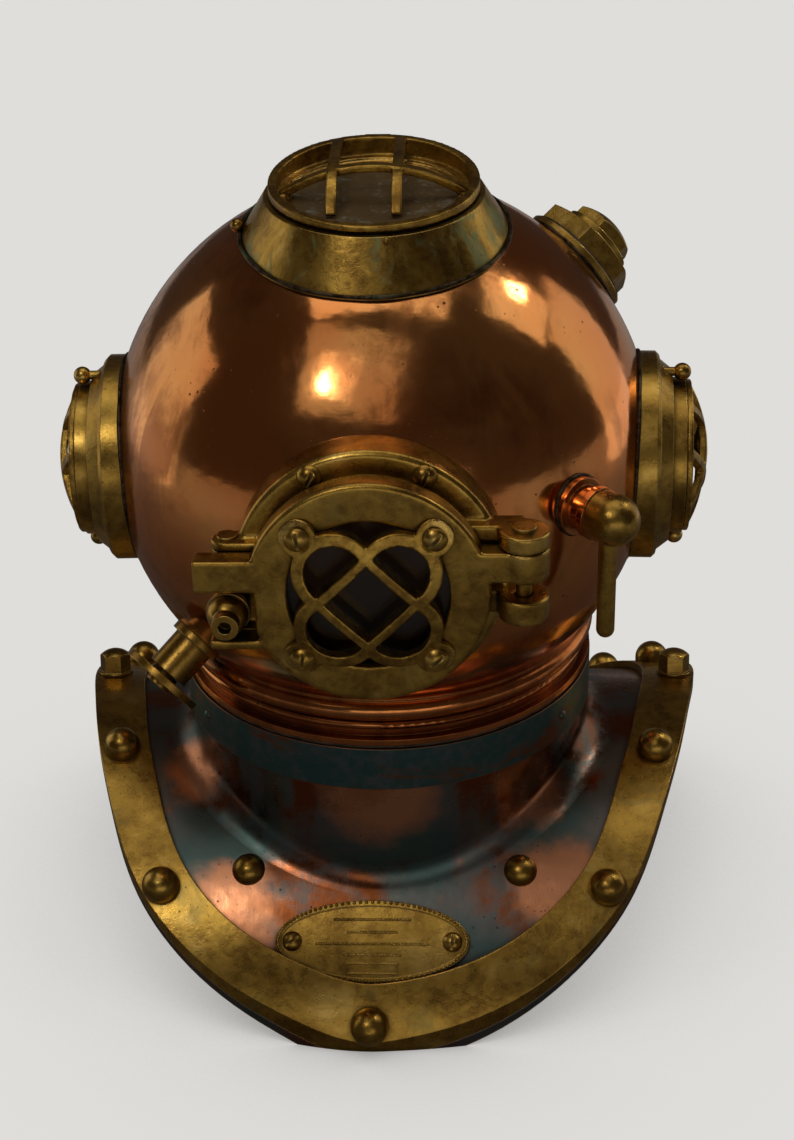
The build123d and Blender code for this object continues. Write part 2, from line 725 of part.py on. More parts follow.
def front_door():
    """The round door with its hinge knuckle and its notched lug."""
    door = turned((
        (0, door_back), (door_radius, door_back), (door_radius, door_face - door_edge),
        (door_radius - door_edge, door_face), (0, door_face),
    ))
    depth = (door_back, door_face)
    door += block((-bolt_offset - lug_overhang, -door_opening), (lug_foot, lug_top), depth)
    hook = (notch_foot - hook_thickness, notch_foot)
    door += block((-bolt_offset - hook_overhang, -door_opening), hook, depth)
    knuckle = (door_knuckle_foot, door_knuckle_top)
    door += block((door_opening, hinge_offset), knuckle, depth)
    door += cross_rod(hinge_offset, hinge_depth, hinge_knuckle, *knuckle)
    door -= block((-bolt_offset - lug_overhang - overrun, -notch_edge), (notch_foot, lug_foot), depth)
    door -= cross_rod(
        hinge_offset, hinge_depth, hinge_pin_radius + fit_gap, -door_radius, door_radius
    )
    door -= rod(door_opening, door_back - overrun, door_face + overrun)
    door -= rod(door_recess, door_back - overrun, door_back + door_recess_depth)
    door -= sleeve(seal_outer + fit_gap, seal_inner - fit_gap, door_back - seal_depth, door_back + seal_depth)
    for x, y in guard_corners(guard_boss_spacing):
        foot = door_face - guard_screw_depth - fit_gap
        door -= Pos(x, y, 0) * rod(screw_shank + fit_gap, foot, door_face + overrun)
    return placed(front, door)


def door_seal():
    return placed(front, sleeve(seal_outer, seal_inner, frame_seat + lip_gap, door_back + seal_depth))


glass_front = door_back + door_recess_depth - glass_gasket
glass_back = glass_front - glass_thickness


def door_glass_gasket():
    return placed(
        front, sleeve(door_recess - fit_gap, door_opening, glass_front, glass_front + glass_gasket)
    )


def door_glass():
    return placed(front, rod(door_recess - fit_gap, glass_back, glass_front))


def door_glass_ring():
    return placed(front, sleeve(door_recess - fit_gap, door_opening, door_back + lip_gap, glass_back))


def door_guard():
    """The scalloped guard, with crossed bars and a boss for a screw at each corner."""
    bar_outer = guard_bar_inner + guard_bar_width
    beyond = Rot(0, 0, 45) * Rectangle(2 * bar_outer, 2 * bar_outer)
    lobes, openings = Sketch(), Sketch()
    for x, y in guard_corners(guard_spacing):
        lobes += Pos(x, y) * Circle(guard_lobe)
        openings += Pos(x, y) * Circle(guard_opening)
    openings -= beyond
    openings += Rot(0, 0, 45) * Rectangle(2 * guard_bar_inner, 2 * guard_bar_inner)
    guard = Pos(0, 0, door_face) * extrude(lobes, guard_crown - door_face)
    for x, y in guard_corners(guard_boss_spacing):
        guard += Pos(x, y, 0) * rod(guard_boss, door_face, guard_boss_top)
    guard -= Pos(0, 0, door_face) * extrude(openings, guard_crown - door_face)
    guard &= Pos(0, 0, guard_crown - guard_crown_radius) * Sphere(guard_crown_radius)
    for x, y in guard_corners(guard_boss_spacing):
        guard -= Pos(x, y, 0) * rod(screw_shank + fit_gap, door_face - overrun, guard_crown)
        guard -= Pos(x, y, 0) * rod(guard_screw_head + fit_gap, guard_boss_top, guard_crown)
    return placed(front, guard)


def guard_screws():
    screws = []
    for (x, y), angle in zip(guard_corners(guard_boss_spacing), guard_screw_angles):
        length = guard_boss_height + guard_screw_depth
        screw = slotted_screw(guard_screw_head, guard_screw_rise, length, angle)
        screws.append(placed(front, Pos(x, y, guard_boss_top) * screw))
    return group(screws)


def side_window_collar(plane):
    """The stepped brass collar of a side window."""
    collar = turned((
        (side_bore, saddle_depth), (side_flange_radius, saddle_depth),
        (side_flange_radius, side_flange_top - frame_edge),
        (side_flange_radius - frame_edge, side_flange_top), (side_step_radius, side_flange_top),
        (side_waist_radius, side_waist_top), (side_ring_radius, side_waist_top),
        (side_ring_radius, side_ring_top), (side_glass_radius, side_ring_top),
        (side_glass_radius, side_glass_seat), (side_bore, side_glass_seat),
    ))
    for y in (-side_screw_radius, side_screw_radius):
        foot = side_flange_top - side_screw_depth
        collar -= Pos(0, y, 0) * rod(screw_shank + fit_gap, foot, side_ring_top)
    return bedded(placed(plane, collar))


def side_window_gasket(plane):
    outer = side_glass_radius - fit_gap
    return placed(plane, sleeve(outer, side_bore, side_glass_seat, side_glass_seat + glass_gasket))


def side_window_glass(plane):
    foot = side_glass_seat + glass_gasket
    return placed(plane, rod(side_glass_radius - fit_gap, foot, foot + side_glass_thickness))


def side_window_guard(plane):
    """The domed guard of a side window, with crossed bars, that holds the glass."""
    glass_top = side_glass_seat + glass_gasket + side_glass_thickness
    rim_top = side_ring_top + side_rim_height
    rim_radius = side_glass_radius + side_rim_cover
    dome_radius = rim_radius - side_dome_inset
    guard = sleeve(side_glass_radius - fit_gap, side_bore, glass_top, side_ring_top)
    guard += sleeve(rim_radius, side_bore - side_rim_step, side_ring_top, rim_top)
    ball = (dome_radius**2 + side_dome_rise**2) / (2 * side_dome_rise)
    spot = Pos(0, 0, rim_top + side_dome_rise - ball)
    skin = spot * Sphere(ball) - spot * Sphere(ball - side_bar_depth)
    skin &= rod(dome_radius, rim_top - side_bar_depth, rim_top + side_dome_rise)
    high = (rim_top - side_bar_depth, rim_top + side_dome_rise)
    bars = Part()
    for turn in (45, 135):
        for offset in (-side_bar_offset, side_bar_offset):
            across = (offset - side_bar_width / 2, offset + side_bar_width / 2)
            bars += Rot(0, 0, turn) * block((-dome_radius, dome_radius), across, high)
    return placed(plane, guard + (skin & bars))


def side_window_screws(plane):
    lift = side_waist_top + side_screw_rise
    screw = rod(screw_shank, side_flange_top - side_screw_depth + fit_gap, lift)
    screw += Pos(0, 0, lift) * Sphere(side_screw_ball)
    return group(placed(plane, Pos(0, y, 0) * screw) for y in (-side_screw_radius, side_screw_radius))


def top_window_collar():
    """The conical collar of the top window."""
    collar = turned((
        (top_bore, saddle_depth), (top_base_radius, saddle_depth), (top_base_radius, top_base),
        (top_cone_radius, top_cone), (top_recess_radius, top_cone), (top_recess_radius, top_recess),
        (top_glass_radius, top_recess), (top_glass_radius, top_seat), (top_bore, top_seat),
    ))
    collar = bedded(placed(top, collar))
    for spot, radius in top_pin_places():
        collar -= placed(spot, rod(pin_shank + fit_gap, -pin_sink, overrun))
    return collar


def top_pin_places():
    """Where the ball-headed screw and the small pin stand on the cone, with their radii."""
    slope = top_cone_spread / top_cone_height
    places = []
    for angle, lift, radius in (
        (top_ball_angle, top_base + top_ball_rise, top_ball_radius),
        (top_pin_angle, top_cone - top_pin_drop, top_pin_radius),
    ):
        reach = top_base_radius - slope * (lift - top_base)
        out = (cos(radians(angle)), sin(radians(angle)), slope)
        local = Plane(origin=(reach * out[0], reach * out[1], lift), z_dir=out)
        places.append((Plane(top.location * local.location), radius))
    return places


def top_collar_pins():
    pins = []
    for spot, radius in top_pin_places():
        ball = Pos(0, 0, radius) * Sphere(radius) & rod(radius, fit_gap, 2 * radius)
        pins.append(placed(spot, rod(pin_shank, fit_gap - pin_sink, radius) + ball))
    return group(pins)


def top_window_gasket():
    outer = top_glass_radius - fit_gap
    return placed(top, sleeve(outer, top_bore, top_seat, top_seat + glass_gasket))


def top_window_glass():
    foot = top_seat + glass_gasket
    return placed(top, rod(top_glass_radius - fit_gap, foot, foot + top_glass_thickness))


def top_window_guard():
    """The top guard: a rim, a flat floor round the glass and three arched bars."""
    glass_top = top_seat + glass_gasket + top_glass_thickness
    floor_top = top_recess + top_floor_thickness
    guard = sleeve(top_recess_radius - fit_gap, top_floor_bore, top_recess, floor_top)
    guard += sleeve(top_glass_radius - fit_gap, top_bore, glass_top, top_recess)
    rim = sleeve(top_recess_radius - fit_gap, top_rim_bore, top_recess, top_rim_top + overrun)
    rim += sleeve(top_rim_radius, top_rim_bore, top_cone + top_rim_gap, top_rim_top + overrun)
    width = (-2 * top_rim_radius, 2 * top_rim_radius)
    guard += rim - Pos(0, 0, top_rim_top) * Rot(top_rim_tilt, 0, 0) * block(width, width, (0, top_rim_radius))
    rise, half = cross_rise_share * top_rim_bore, top_bar_width / 2
    ball = (top_rim_bore**2 + rise**2) / (2 * rise)
    middle_line = cross_bar_share * top_rim_bore
    cross = cross_rod(0, floor_top + rise - ball, ball, middle_line - half, middle_line + half)
    cross -= cross_rod(0, floor_top + rise - ball, ball - top_bar_depth, -top_rim_bore, top_rim_bore)
    line = [(top_rim_bore * y, floor_top + top_rim_bore * z) for y, z in long_line_shares]
    bars = cross
    for share in long_bar_shares:
        bars += Pos(share * top_rim_bore, 0, 0) * extrude(turned_line(line, top_bar_depth), half, both=True)
    reach = top_rim_bore + bedding
    bars &= rod(reach, top_recess, floor_top + rise + overrun)
    return placed(top, guard + bars)


def exhaust_body():
    body = rod(exhaust_radius, saddle_depth, exhaust_end)
    body += rod(exhaust_flange_radius, saddle_depth, sphere_radius + exhaust_flange_rise)
    body -= rod(exhaust_bore, saddle_depth - overrun, exhaust_end - exhaust_cap)
    body -= rod(wheel_spigot_radius + fit_gap, saddle_depth, exhaust_end + overrun)
    return bedded(placed(exhaust, body))


def exhaust_valve_seat():
    foot = exhaust_seat_top - exhaust_seat_thickness
    return placed(
        exhaust, sleeve(exhaust_bore - fit_gap, exhaust_seat_bore, foot, exhaust_seat_top)
    )


def exhaust_valve_disc():
    foot = exhaust_seat_top + valve_seat_gap
    disc = rod(valve_radius, foot, foot + valve_thickness)
    return placed(exhaust, disc + rod(valve_stem_radius, foot, exhaust_end - valve_stem_drop))


def exhaust_handwheel():
    """The thin handwheel, with a raised rim and a hub whose spigot turns in the body's end."""
    foot, spigot_foot = exhaust_end + wheel_gap, exhaust_end - wheel_spigot_length
    hub_end = exhaust_end + wheel_hub_height
    web_foot = foot + (wheel_depth - wheel_web) / 2
    wheel = rod(wheel_radius, web_foot, web_foot + wheel_web)
    wheel += sleeve(wheel_radius, wheel_radius - wheel_rim, foot, foot + wheel_depth)
    wheel += rod(wheel_hub_radius, exhaust_end + running, hub_end)
    wheel += rod(wheel_spigot_radius, spigot_foot, hub_end)
    bore_end = exhaust_end - valve_stem_drop + valve_travel + wheel_rim
    wheel -= rod(valve_stem_radius + fit_gap, spigot_foot - overrun, bore_end)
    return placed(exhaust, wheel)


def spitcock_stub():
    collar_top = sphere_radius + stub_length
    stub = rod(stub_radius, saddle_depth, collar_top)
    stub += rod(stub_flange_radius, saddle_depth, sphere_radius + stub_flange_rise)
    stub += rod(stub_collar_radius, collar_top - stub_collar_width, collar_top)
    stub -= rod(spindle_radius + fit_gap, saddle_depth - overrun, collar_top + overrun)
    return bedded(placed(spitcock, stub))


def spitcock_key():
    """The round-ended body of the cock, with its spindle and a socket for the lever."""
    foot = sphere_radius + stub_length + running
    key = rod(key_radius, foot, foot + key_length) + Pos(0, 0, foot + key_length) * Sphere(key_radius) & rod(
        key_radius, foot, foot + key_length + key_radius
    )
    key += rod(spindle_radius, sphere_radius + spindle_root, foot + key_length)
    key -= cross_rod(0, foot + lever_step, lever_radius + fit_gap, -key_radius - overrun, -lever_root)
    return placed(spitcock, key)


def spitcock_lever():
    depth = sphere_radius + stub_length + running + lever_step
    lever = cross_rod(0, depth, lever_radius, -lever_reach, -lever_root)
    return placed(spitcock, lever + Pos(0, -lever_reach, depth) * Sphere(lever_radius))


def inlet_fitting():
    body = rod(inlet_flange_radius, saddle_depth, inlet_flange_top)
    body += rod(inlet_stub_radius, saddle_depth, inlet_stub_top)
    body -= rod(inlet_bore, saddle_depth - overrun, inlet_stub_top + overrun)
    return bedded(placed(inlet, body))


def inlet_washer():
    outer = cap_radius + washer_overhang
    return placed(inlet, sleeve(outer, inlet_stub_radius + fit_gap, inlet_flange_top, cap_foot))


def inlet_cap():
    """The large hexagonal cap, with a coned shoulder and a round boss."""
    hexed = hexagon(cap_radius, cap_foot, cap_shoulder)
    hexed &= turned((
        (0, cap_foot), (cap_radius, cap_foot), (cap_radius, cap_foot + cap_height),
        (cap_boss_radius, cap_shoulder), (0, cap_shoulder),
    ))
    hexed += rod(cap_boss_radius, cap_foot + cap_height, cap_top)
    hexed -= rod(inlet_stub_radius + fit_gap, cap_foot - overrun, inlet_stub_top + fit_gap)
    hexed -= rod(plug_stem_radius + fit_gap, cap_foot, cap_top + overrun)
    return placed(inlet, hexed)


def inlet_plug():
    plug = hexagon(plug_radius, cap_top, cap_top + plug_height)
    plug &= Pos(0, 0, cap_top + plug_height - plug_crown) * Sphere(plug_crown)
    plug += rod(plug_stem_radius, cap_top - plug_stem_length, cap_top)
    return placed(inlet, plug)


nodes = {
    "breastplate_shell": breastplate_shell(),
    "front_strap": front_strap(),
    "rear_strap": rear_strap(),
    "strap_studs": strap_studs(),
    "strap_dome_nuts": strap_dome_nuts(),
    "shoulder_nuts": shoulder_nuts(),
    "plate_rivets": plate_rivets(),
    "nameplate": nameplate(),
    "nameplate_screws": nameplate_screws(),
    "neck_collar_ring": neck_collar_ring(),
    "collar_rivets": collar_rivets(),
    "neck_gasket": neck_gasket(),
    "bonnet_neck_ring": bonnet_neck_ring(),
    "bonnet_shell": bonnet_shell(),
    "front_window_frame": front_window_frame(),
    "frame_screws": frame_screws(),
    "hinge_pin": hinge_pin(),
    "swing_bolt_pin": swing_bolt_pin(),
    "swing_bolt": swing_bolt(),
    "clamp_nut": clamp_nut(),
    "front_door": front_door(),
    "door_seal": door_seal(),
    "door_glass_gasket": door_glass_gasket(),
    "door_glass": door_glass(),
    "door_glass_ring": door_glass_ring(),
    "door_guard": door_guard(),
    "guard_screws": guard_screws(),
    "top_window_collar": top_window_collar(),
    "top_collar_pins": top_collar_pins(),
    "top_window_gasket": top_window_gasket(),
    "top_window_glass": top_window_glass(),
    "top_window_guard": top_window_guard(),
    "exhaust_body": exhaust_body(),
    "exhaust_valve_seat": exhaust_valve_seat(),
    "exhaust_valve_disc": exhaust_valve_disc(),
    "exhaust_handwheel": exhaust_handwheel(),
    "spitcock_stub": spitcock_stub(),
    "spitcock_key": spitcock_key(),
    "spitcock_lever": spitcock_lever(),
    "inlet_fitting": inlet_fitting(),
    "inlet_washer": inlet_washer(),
    "inlet_cap": inlet_cap(),
    "inlet_plug": inlet_plug(),
}
for side, plane in (("left", left), ("right", right)):
    nodes[f"{side}_window_collar"] = side_window_collar(plane)
    nodes[f"{side}_window_gasket"] = side_window_gasket(plane)
    nodes[f"{side}_window_glass"] = side_window_glass(plane)
    nodes[f"{side}_window_guard"] = side_window_guard(plane)
    nodes[f"{side}_window_screws"] = side_window_screws(plane)

# The middle of the whole object's box stands above the origin
boxes = [piece.bounding_box() for piece in nodes.values()]
front_reach = min(box.min.Y for box in boxes)
rear_reach = max(box.max.Y for box in boxes)
shift = -(front_reach + rear_reach) / 2
print("shift", shift)

os.makedirs("parts", exist_ok=True)
for name, piece in nodes.items():
    export_step(Pos(0, shift, 0) * piece, f"parts/{name}.step")
    print(name, len(piece.solids()), round(piece.volume))
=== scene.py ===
import json
import random
from math import atan2, cos, pi, radians, sin, sqrt

import bmesh
import bpy
from bpy.props import FloatProperty, FloatVectorProperty, PointerProperty
from mathutils import Matrix, Vector


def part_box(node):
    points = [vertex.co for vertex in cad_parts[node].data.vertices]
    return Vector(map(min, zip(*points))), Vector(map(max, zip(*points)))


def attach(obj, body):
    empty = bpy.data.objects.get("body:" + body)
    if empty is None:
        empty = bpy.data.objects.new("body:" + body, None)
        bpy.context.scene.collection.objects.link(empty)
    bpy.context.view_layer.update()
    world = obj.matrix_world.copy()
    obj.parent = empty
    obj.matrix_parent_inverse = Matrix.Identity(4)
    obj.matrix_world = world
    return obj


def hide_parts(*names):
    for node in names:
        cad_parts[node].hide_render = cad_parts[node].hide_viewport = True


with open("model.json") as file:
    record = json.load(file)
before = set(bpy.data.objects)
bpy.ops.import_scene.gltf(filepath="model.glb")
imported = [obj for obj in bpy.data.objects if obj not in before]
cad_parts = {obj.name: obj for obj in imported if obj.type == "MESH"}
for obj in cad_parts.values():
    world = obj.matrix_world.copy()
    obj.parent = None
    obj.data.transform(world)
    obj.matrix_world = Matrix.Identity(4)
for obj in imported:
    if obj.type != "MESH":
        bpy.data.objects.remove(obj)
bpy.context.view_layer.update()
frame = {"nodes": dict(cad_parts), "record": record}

bl_info = {
    "name": "Diving Helmet",
    "version": (1, 0, 0),
    "blender": (4, 5, 0),
    "location": "3D View > Sidebar > Helmet",
    "description": "Finishes an old copper and brass diving helmet on a plain stage",
    "category": "Object",
}

joints = {joint["name"]: joint for joint in frame["record"]["behaviour"]["joints"]}


def length(name, text, default):
    return FloatProperty(
        name=name, description=text, default=default, min=0.0, subtype="DISTANCE", unit="LENGTH"
    )


def angle(name, text, degrees):
    return FloatProperty(
        name=name, description=text, default=radians(degrees), subtype="ANGLE", unit="ROTATION"
    )


def share(name, text, default):
    return FloatProperty(
        name=name, description=text, default=default, min=0.0, max=1.0, subtype="FACTOR"
    )


def colour(name, text, default):
    return FloatVectorProperty(
        name=name, description=text, default=default, size=3, min=0.0, max=1.0, subtype="COLOR"
    )


class HelmetSizes(bpy.types.PropertyGroup):
    """Sizes of the pieces that are added to the frame."""

    seam: length("Seam", "Radius of the solder bead round a fitting", 0.0011)
    seam_unevenness: share("Seam unevenness", "How much the bead's thickness varies", 0.35)
    cast_grain: length("Cast grain", "Size of the cells that soften a casting", 0.0008)
    fine_grain: length("Fine grain", "Size of the cells that soften a small casting", 0.0005)
    worn_edge: length("Worn edge", "Radius of the rounding that wear gives an edge", 0.0008)
    arch: length("Arch", "Radius of the breastplate's arch", 0.191)
    arch_top: length("Arch top", "Height of the breastplate's arch", 0.112)
    cone_top: length("Cone top", "Radius of the top window's cone at its upper edge", 0.0578)
    cone_reach: length("Cone reach", "From the sphere's middle to the cone's upper edge", 0.156)
    cone_spread: share("Cone spread", "How much wider the cone gets as it goes down", 0.6133)
    plate_lift: length("Plate lift", "Height of the nameplate's sheet over the copper", 0.00155)
    rim_lift: length("Rim lift", "Height of the nameplate's border over the copper", 0.00255)
    rim_width: length("Rim width", "Width of the nameplate's border", 0.003)
    bead: length("Bead", "Radius of a bead on the nameplate's border", 0.001)
    rule: length("Rule", "Half width of a plain line on the nameplate", 0.0007)


class HelmetColours(bpy.types.PropertyGroup):
    """Colours of the metals, of what grows on them and of the soft pieces."""

    copper: colour("Copper", "Polished copper", (0.80, 0.28, 0.085))
    copper_pale: colour("Pale copper", "Copper where it was rubbed last", (0.90, 0.42, 0.14))
    copper_brown: colour("Brown copper", "Copper that has tarnished", (0.27, 0.08, 0.024))
    # Black tarnish in pits, and also the painted shade in corners and under parts
    black_tarnish_and_shade: colour("Black copper", "Tarnish in pits and corners", (0.03, 0.012, 0.007))
    salmon: colour("Salmon", "Bare pink copper", (0.80, 0.34, 0.17))
    slate: colour("Slate", "Blue-grey patina", (0.13, 0.165, 0.175))
    teal: colour("Teal", "Blue-green patina", (0.065, 0.15, 0.15))
    brass: colour("Brass", "Old brass with a dull shine", (0.56, 0.35, 0.07))
    brass_bright: colour("Bright brass", "Brass where hands and cloths rub it", (0.90, 0.62, 0.20))
    brass_dark: colour("Dark brass", "Brown brass", (0.25, 0.14, 0.03))
    # Real grime, and also the painted shade in the corners of the brass and the glass
    grime_and_shade: colour("Grime", "Black grime in the corners", (0.02, 0.013, 0.006))
    verdigris: colour("Verdigris", "Green bloom on brass", (0.16, 0.25, 0.14))
    solder: colour("Solder", "Dull solder", (0.10, 0.075, 0.05))
    leather: colour("Leather", "Oiled leather", (0.075, 0.04, 0.022))
    rubber: colour("Rubber", "Old rubber", (0.028, 0.026, 0.024))
    glass: colour("Glass", "Thick glass", (0.40, 0.43, 0.40))
    dust: colour("Dust", "Brown dust on the top glass", (0.15, 0.095, 0.035))
    shadow: colour("Shadow", "Floor close under the helmet", (0.30, 0.29, 0.28))
    backdrop: colour("Backdrop", "Background and open floor", (0.74, 0.73, 0.71))
    surroundings: colour(
        "Surroundings", "What the metal mirrors beside the lamps", (0.042, 0.033, 0.027)
    )
    lamp: colour("Lamp", "Warm light of the lamps", (1.0, 0.93, 0.82))


class HelmetStage(bpy.types.PropertyGroup):
    """Where the camera stands, seen from the middle of the copper sphere."""

    distance: length("Distance", "From the sphere's middle to the camera", 1.1)
    azimuth: angle("Azimuth", "How far right of the front window the camera stands", 3.0)
    elevation: angle("Elevation", "How high above the sphere's middle the camera stands", 24.0)
    tilt: angle("Tilt", "How far below the sphere's middle the camera points", 3.79)
    pan: angle("Pan", "How far right of the sphere's middle the camera points", 0.315)
    roll: angle("Roll", "How far the camera leans to the right", 1.5)
    lens: FloatProperty(name="Lens", description="Focal length", default=61.1, min=1.0, unit="CAMERA")


def sizes():
    return bpy.context.scene.helmet_sizes


def colours():
    return bpy.context.scene.helmet_colours


# The sockets of a Mix node that mixes colours
MIX_FACTOR, MIX_FIRST, MIX_SECOND, MIX_RESULT = 0, 6, 7, 2
# Rays with which corners and rounded edges are felt out
CORNER_RAYS, EDGE_RAYS = 8, 6
# How far an edge has to turn the surface before it shows, and before it shows fully
EDGE_TURN = (0.01, 0.16)
# How ragged the border of a round patch is, and how large the raggedness is, as shares of its reach
RAGGED_DEPTH, RAGGED_SIZE = 0.9, 0.6


class Value:
    """A shader value that ordinary sums can be written with."""

    def __init__(self, paint, socket):
        self.paint = paint
        self.socket = socket

    def __add__(self, other):
        return self.paint.maths("ADD", self, other)

    def __radd__(self, other):
        return self.paint.maths("ADD", other, self)

    def __sub__(self, other):
        return self.paint.maths("SUBTRACT", self, other)

    def __rsub__(self, other):
        return self.paint.maths("SUBTRACT", other, self)

    def __mul__(self, other):
        return self.paint.maths("MULTIPLY", self, other)

    def __rmul__(self, other):
        return self.paint.maths("MULTIPLY", other, self)

    def fade(self, low, high):
        """0 at low and 1 at high, with a soft start and end."""
        made = self.paint.node(
            "ShaderNodeMapRange", {"interpolation_type": "SMOOTHSTEP"},
            {"Value": self, "From Min": low, "From Max": high},
        )
        return Value(self.paint, made.outputs["Result"])


class Paint:
    """The nodes of one material or of the surroundings."""

    def __init__(self, name, kind=bpy.data.materials):
        self.material = kind.new(name)
        self.material.use_nodes = True
        self.tree = self.material.node_tree
        self.tree.nodes.clear()

    def feed(self, socket, value):
        if isinstance(value, Value):
            self.tree.links.new(value.socket, socket)
        else:
            socket.default_value = value

    def node(self, kind, settings, sockets):
        """A node of a kind with its settings, and its sockets by name or number."""
        made = self.tree.nodes.new(kind)
        for name, value in settings.items():
            setattr(made, name, value)
        for name, value in sockets.items():
            self.feed(made.inputs[name], value)
        return made

    def maths(self, operation, first, second):
        made = self.node("ShaderNodeMath", {"operation": operation}, {0: first, 1: second})
        return Value(self, made.outputs["Value"])

    def place(self, stretch=(1.0, 1.0, 1.0)):
        """The place on the object in metres, stretched for textures with a grain."""
        where = self.node("ShaderNodeTexCoord", {}, {}).outputs["Object"]
        made = self.node(
            "ShaderNodeVectorMath", {"operation": "MULTIPLY"}, {0: Value(self, where), 1: stretch}
        )
        return Value(self, made.outputs["Vector"])

    def noise(self, size, detail=4.0, roughness=0.55, distortion=0.0, stretch=(1.0, 1.0, 1.0)):
        """Cloudy noise from 0 to 1, whose clouds are about size metres across."""
        made = self.node("ShaderNodeTexNoise", {"normalize": True}, {
            "Vector": self.place(stretch), "Scale": 1.0 / size, "Detail": detail,
            "Roughness": roughness, "Distortion": distortion,
        })
        return Value(self, made.outputs["Fac"])

    def spots(self, size):
        """The distance to the nearest of many scattered points, as a share of size."""
        made = self.node("ShaderNodeTexVoronoi", {"feature": "F1"}, {
            "Vector": self.place(), "Scale": 1.0 / size, "Randomness": 1.0,
        })
        return Value(self, made.outputs["Distance"])

    def distance(self, middle):
        made = self.node("ShaderNodeVectorMath", {"operation": "DISTANCE"}, {0: self.place(), 1: middle})
        return Value(self, made.outputs["Value"])

    def near(self, middle, reach):
        """1 round a place on the object, and 0 beyond reach, with a ragged border."""
        ragged = self.distance(middle) + (self.noise(reach * RAGGED_SIZE) - 0.5) * reach * RAGGED_DEPTH
        return 1.0 - ragged.fade(reach / 2, reach)

    def corners(self, reach):
        """1 deep in corners, and 0 on open faces: the occlusion that is painted as shade and shadow."""
        made = self.node("ShaderNodeAmbientOcclusion", {"samples": CORNER_RAYS}, {"Distance": reach})
        return 1.0 - Value(self, made.outputs["AO"])

    def ridges(self, reach):
        """1 where the solid is thin or sticks out, and 0 on broad faces."""
        settings = {"samples": CORNER_RAYS, "inside": True}
        made = self.node("ShaderNodeAmbientOcclusion", settings, {"Distance": reach})
        return 1.0 - Value(self, made.outputs["AO"])

    def rounding(self):
        made = self.node("ShaderNodeBevel", {"samples": EDGE_RAYS}, {"Radius": sizes().worn_edge})
        return Value(self, made.outputs["Normal"])

    def edges(self):
        """1 where an edge turns the surface, and 0 on open faces."""
        flat = self.node("ShaderNodeNewGeometry", {}, {}).outputs["Normal"]
        made = self.node(
            "ShaderNodeVectorMath", {"operation": "DOT_PRODUCT"},
            {0: self.rounding(), 1: Value(self, flat)},
        )
        return (1.0 - Value(self, made.outputs["Value"])).fade(*EDGE_TURN)

    def mix(self, factor, first, second):
        """A colour between two, at a share from 0 to 1."""
        sockets = {MIX_FACTOR: factor, MIX_FIRST: self.solid(first), MIX_SECOND: self.solid(second)}
        made = self.node("ShaderNodeMix", {"data_type": "RGBA"}, sockets)
        return Value(self, made.outputs[MIX_RESULT])

    def blend(self, factor, first, second):
        """A shader between two shaders."""
        sockets = {0: factor}
        for number, shader in enumerate((first, second), 1):
            sockets[number] = shader if isinstance(shader, Value) else Value(self, shader.outputs[0])
        return Value(self, self.node("ShaderNodeMixShader", {}, sockets).outputs["Shader"])

    def solid(self, tint):
        return tint if isinstance(tint, Value) else (*tint, 1.0)

    def surface(self, base, roughness, relief, depth, metallic=1.0, extra=None):
        """Ends the material in one principled surface, with a relief in metres."""
        bump = self.node("ShaderNodeBump", {}, {
            "Height": relief, "Distance": depth, "Strength": 1.0, "Normal": self.rounding(),
        })
        shader = self.node("ShaderNodeBsdfPrincipled", {}, {
            "Base Color": self.solid(base), "Roughness": roughness, "Metallic": metallic,
            "Normal": Value(self, bump.outputs["Normal"]), **(extra or {}),
        })
        self.node("ShaderNodeOutputMaterial", {}, {"Surface": Value(self, shader.outputs["BSDF"])})
        return self.material


# Patterns: size in metres, detail, roughness, distortion, and stretch along X, Y and Z.
# A single number is a size, a reach or the height of the relief in metres.
# Patterns of the copper sphere
COPPER_CLOUD = (0.085, 6.0, 0.6, 0.6)
COPPER_SMEAR = (0.03, 5.0, 0.65, 1.2, (1.0, 1.0, 0.35))
COPPER_RUBBED = (0.12, 3.0, 0.5)
COPPER_SCRATCH = (0.0011, 2.0, 0.6, 0.0, (0.16, 0.16, 1.0))
COPPER_PIT, COPPER_PIT_RAGGED, COPPER_PIT_GROUP = 0.0055, (0.015,), (0.05, 3.0)
COPPER_FLECK, COPPER_FLECK_GROUP = 0.0024, (0.03, 2.0)
COPPER_WAVE, COPPER_DENT = (0.022, 2.0), (0.006, 2.0)
COPPER_SHADE_REACH, COPPER_RELIEF = 0.016, 0.00035


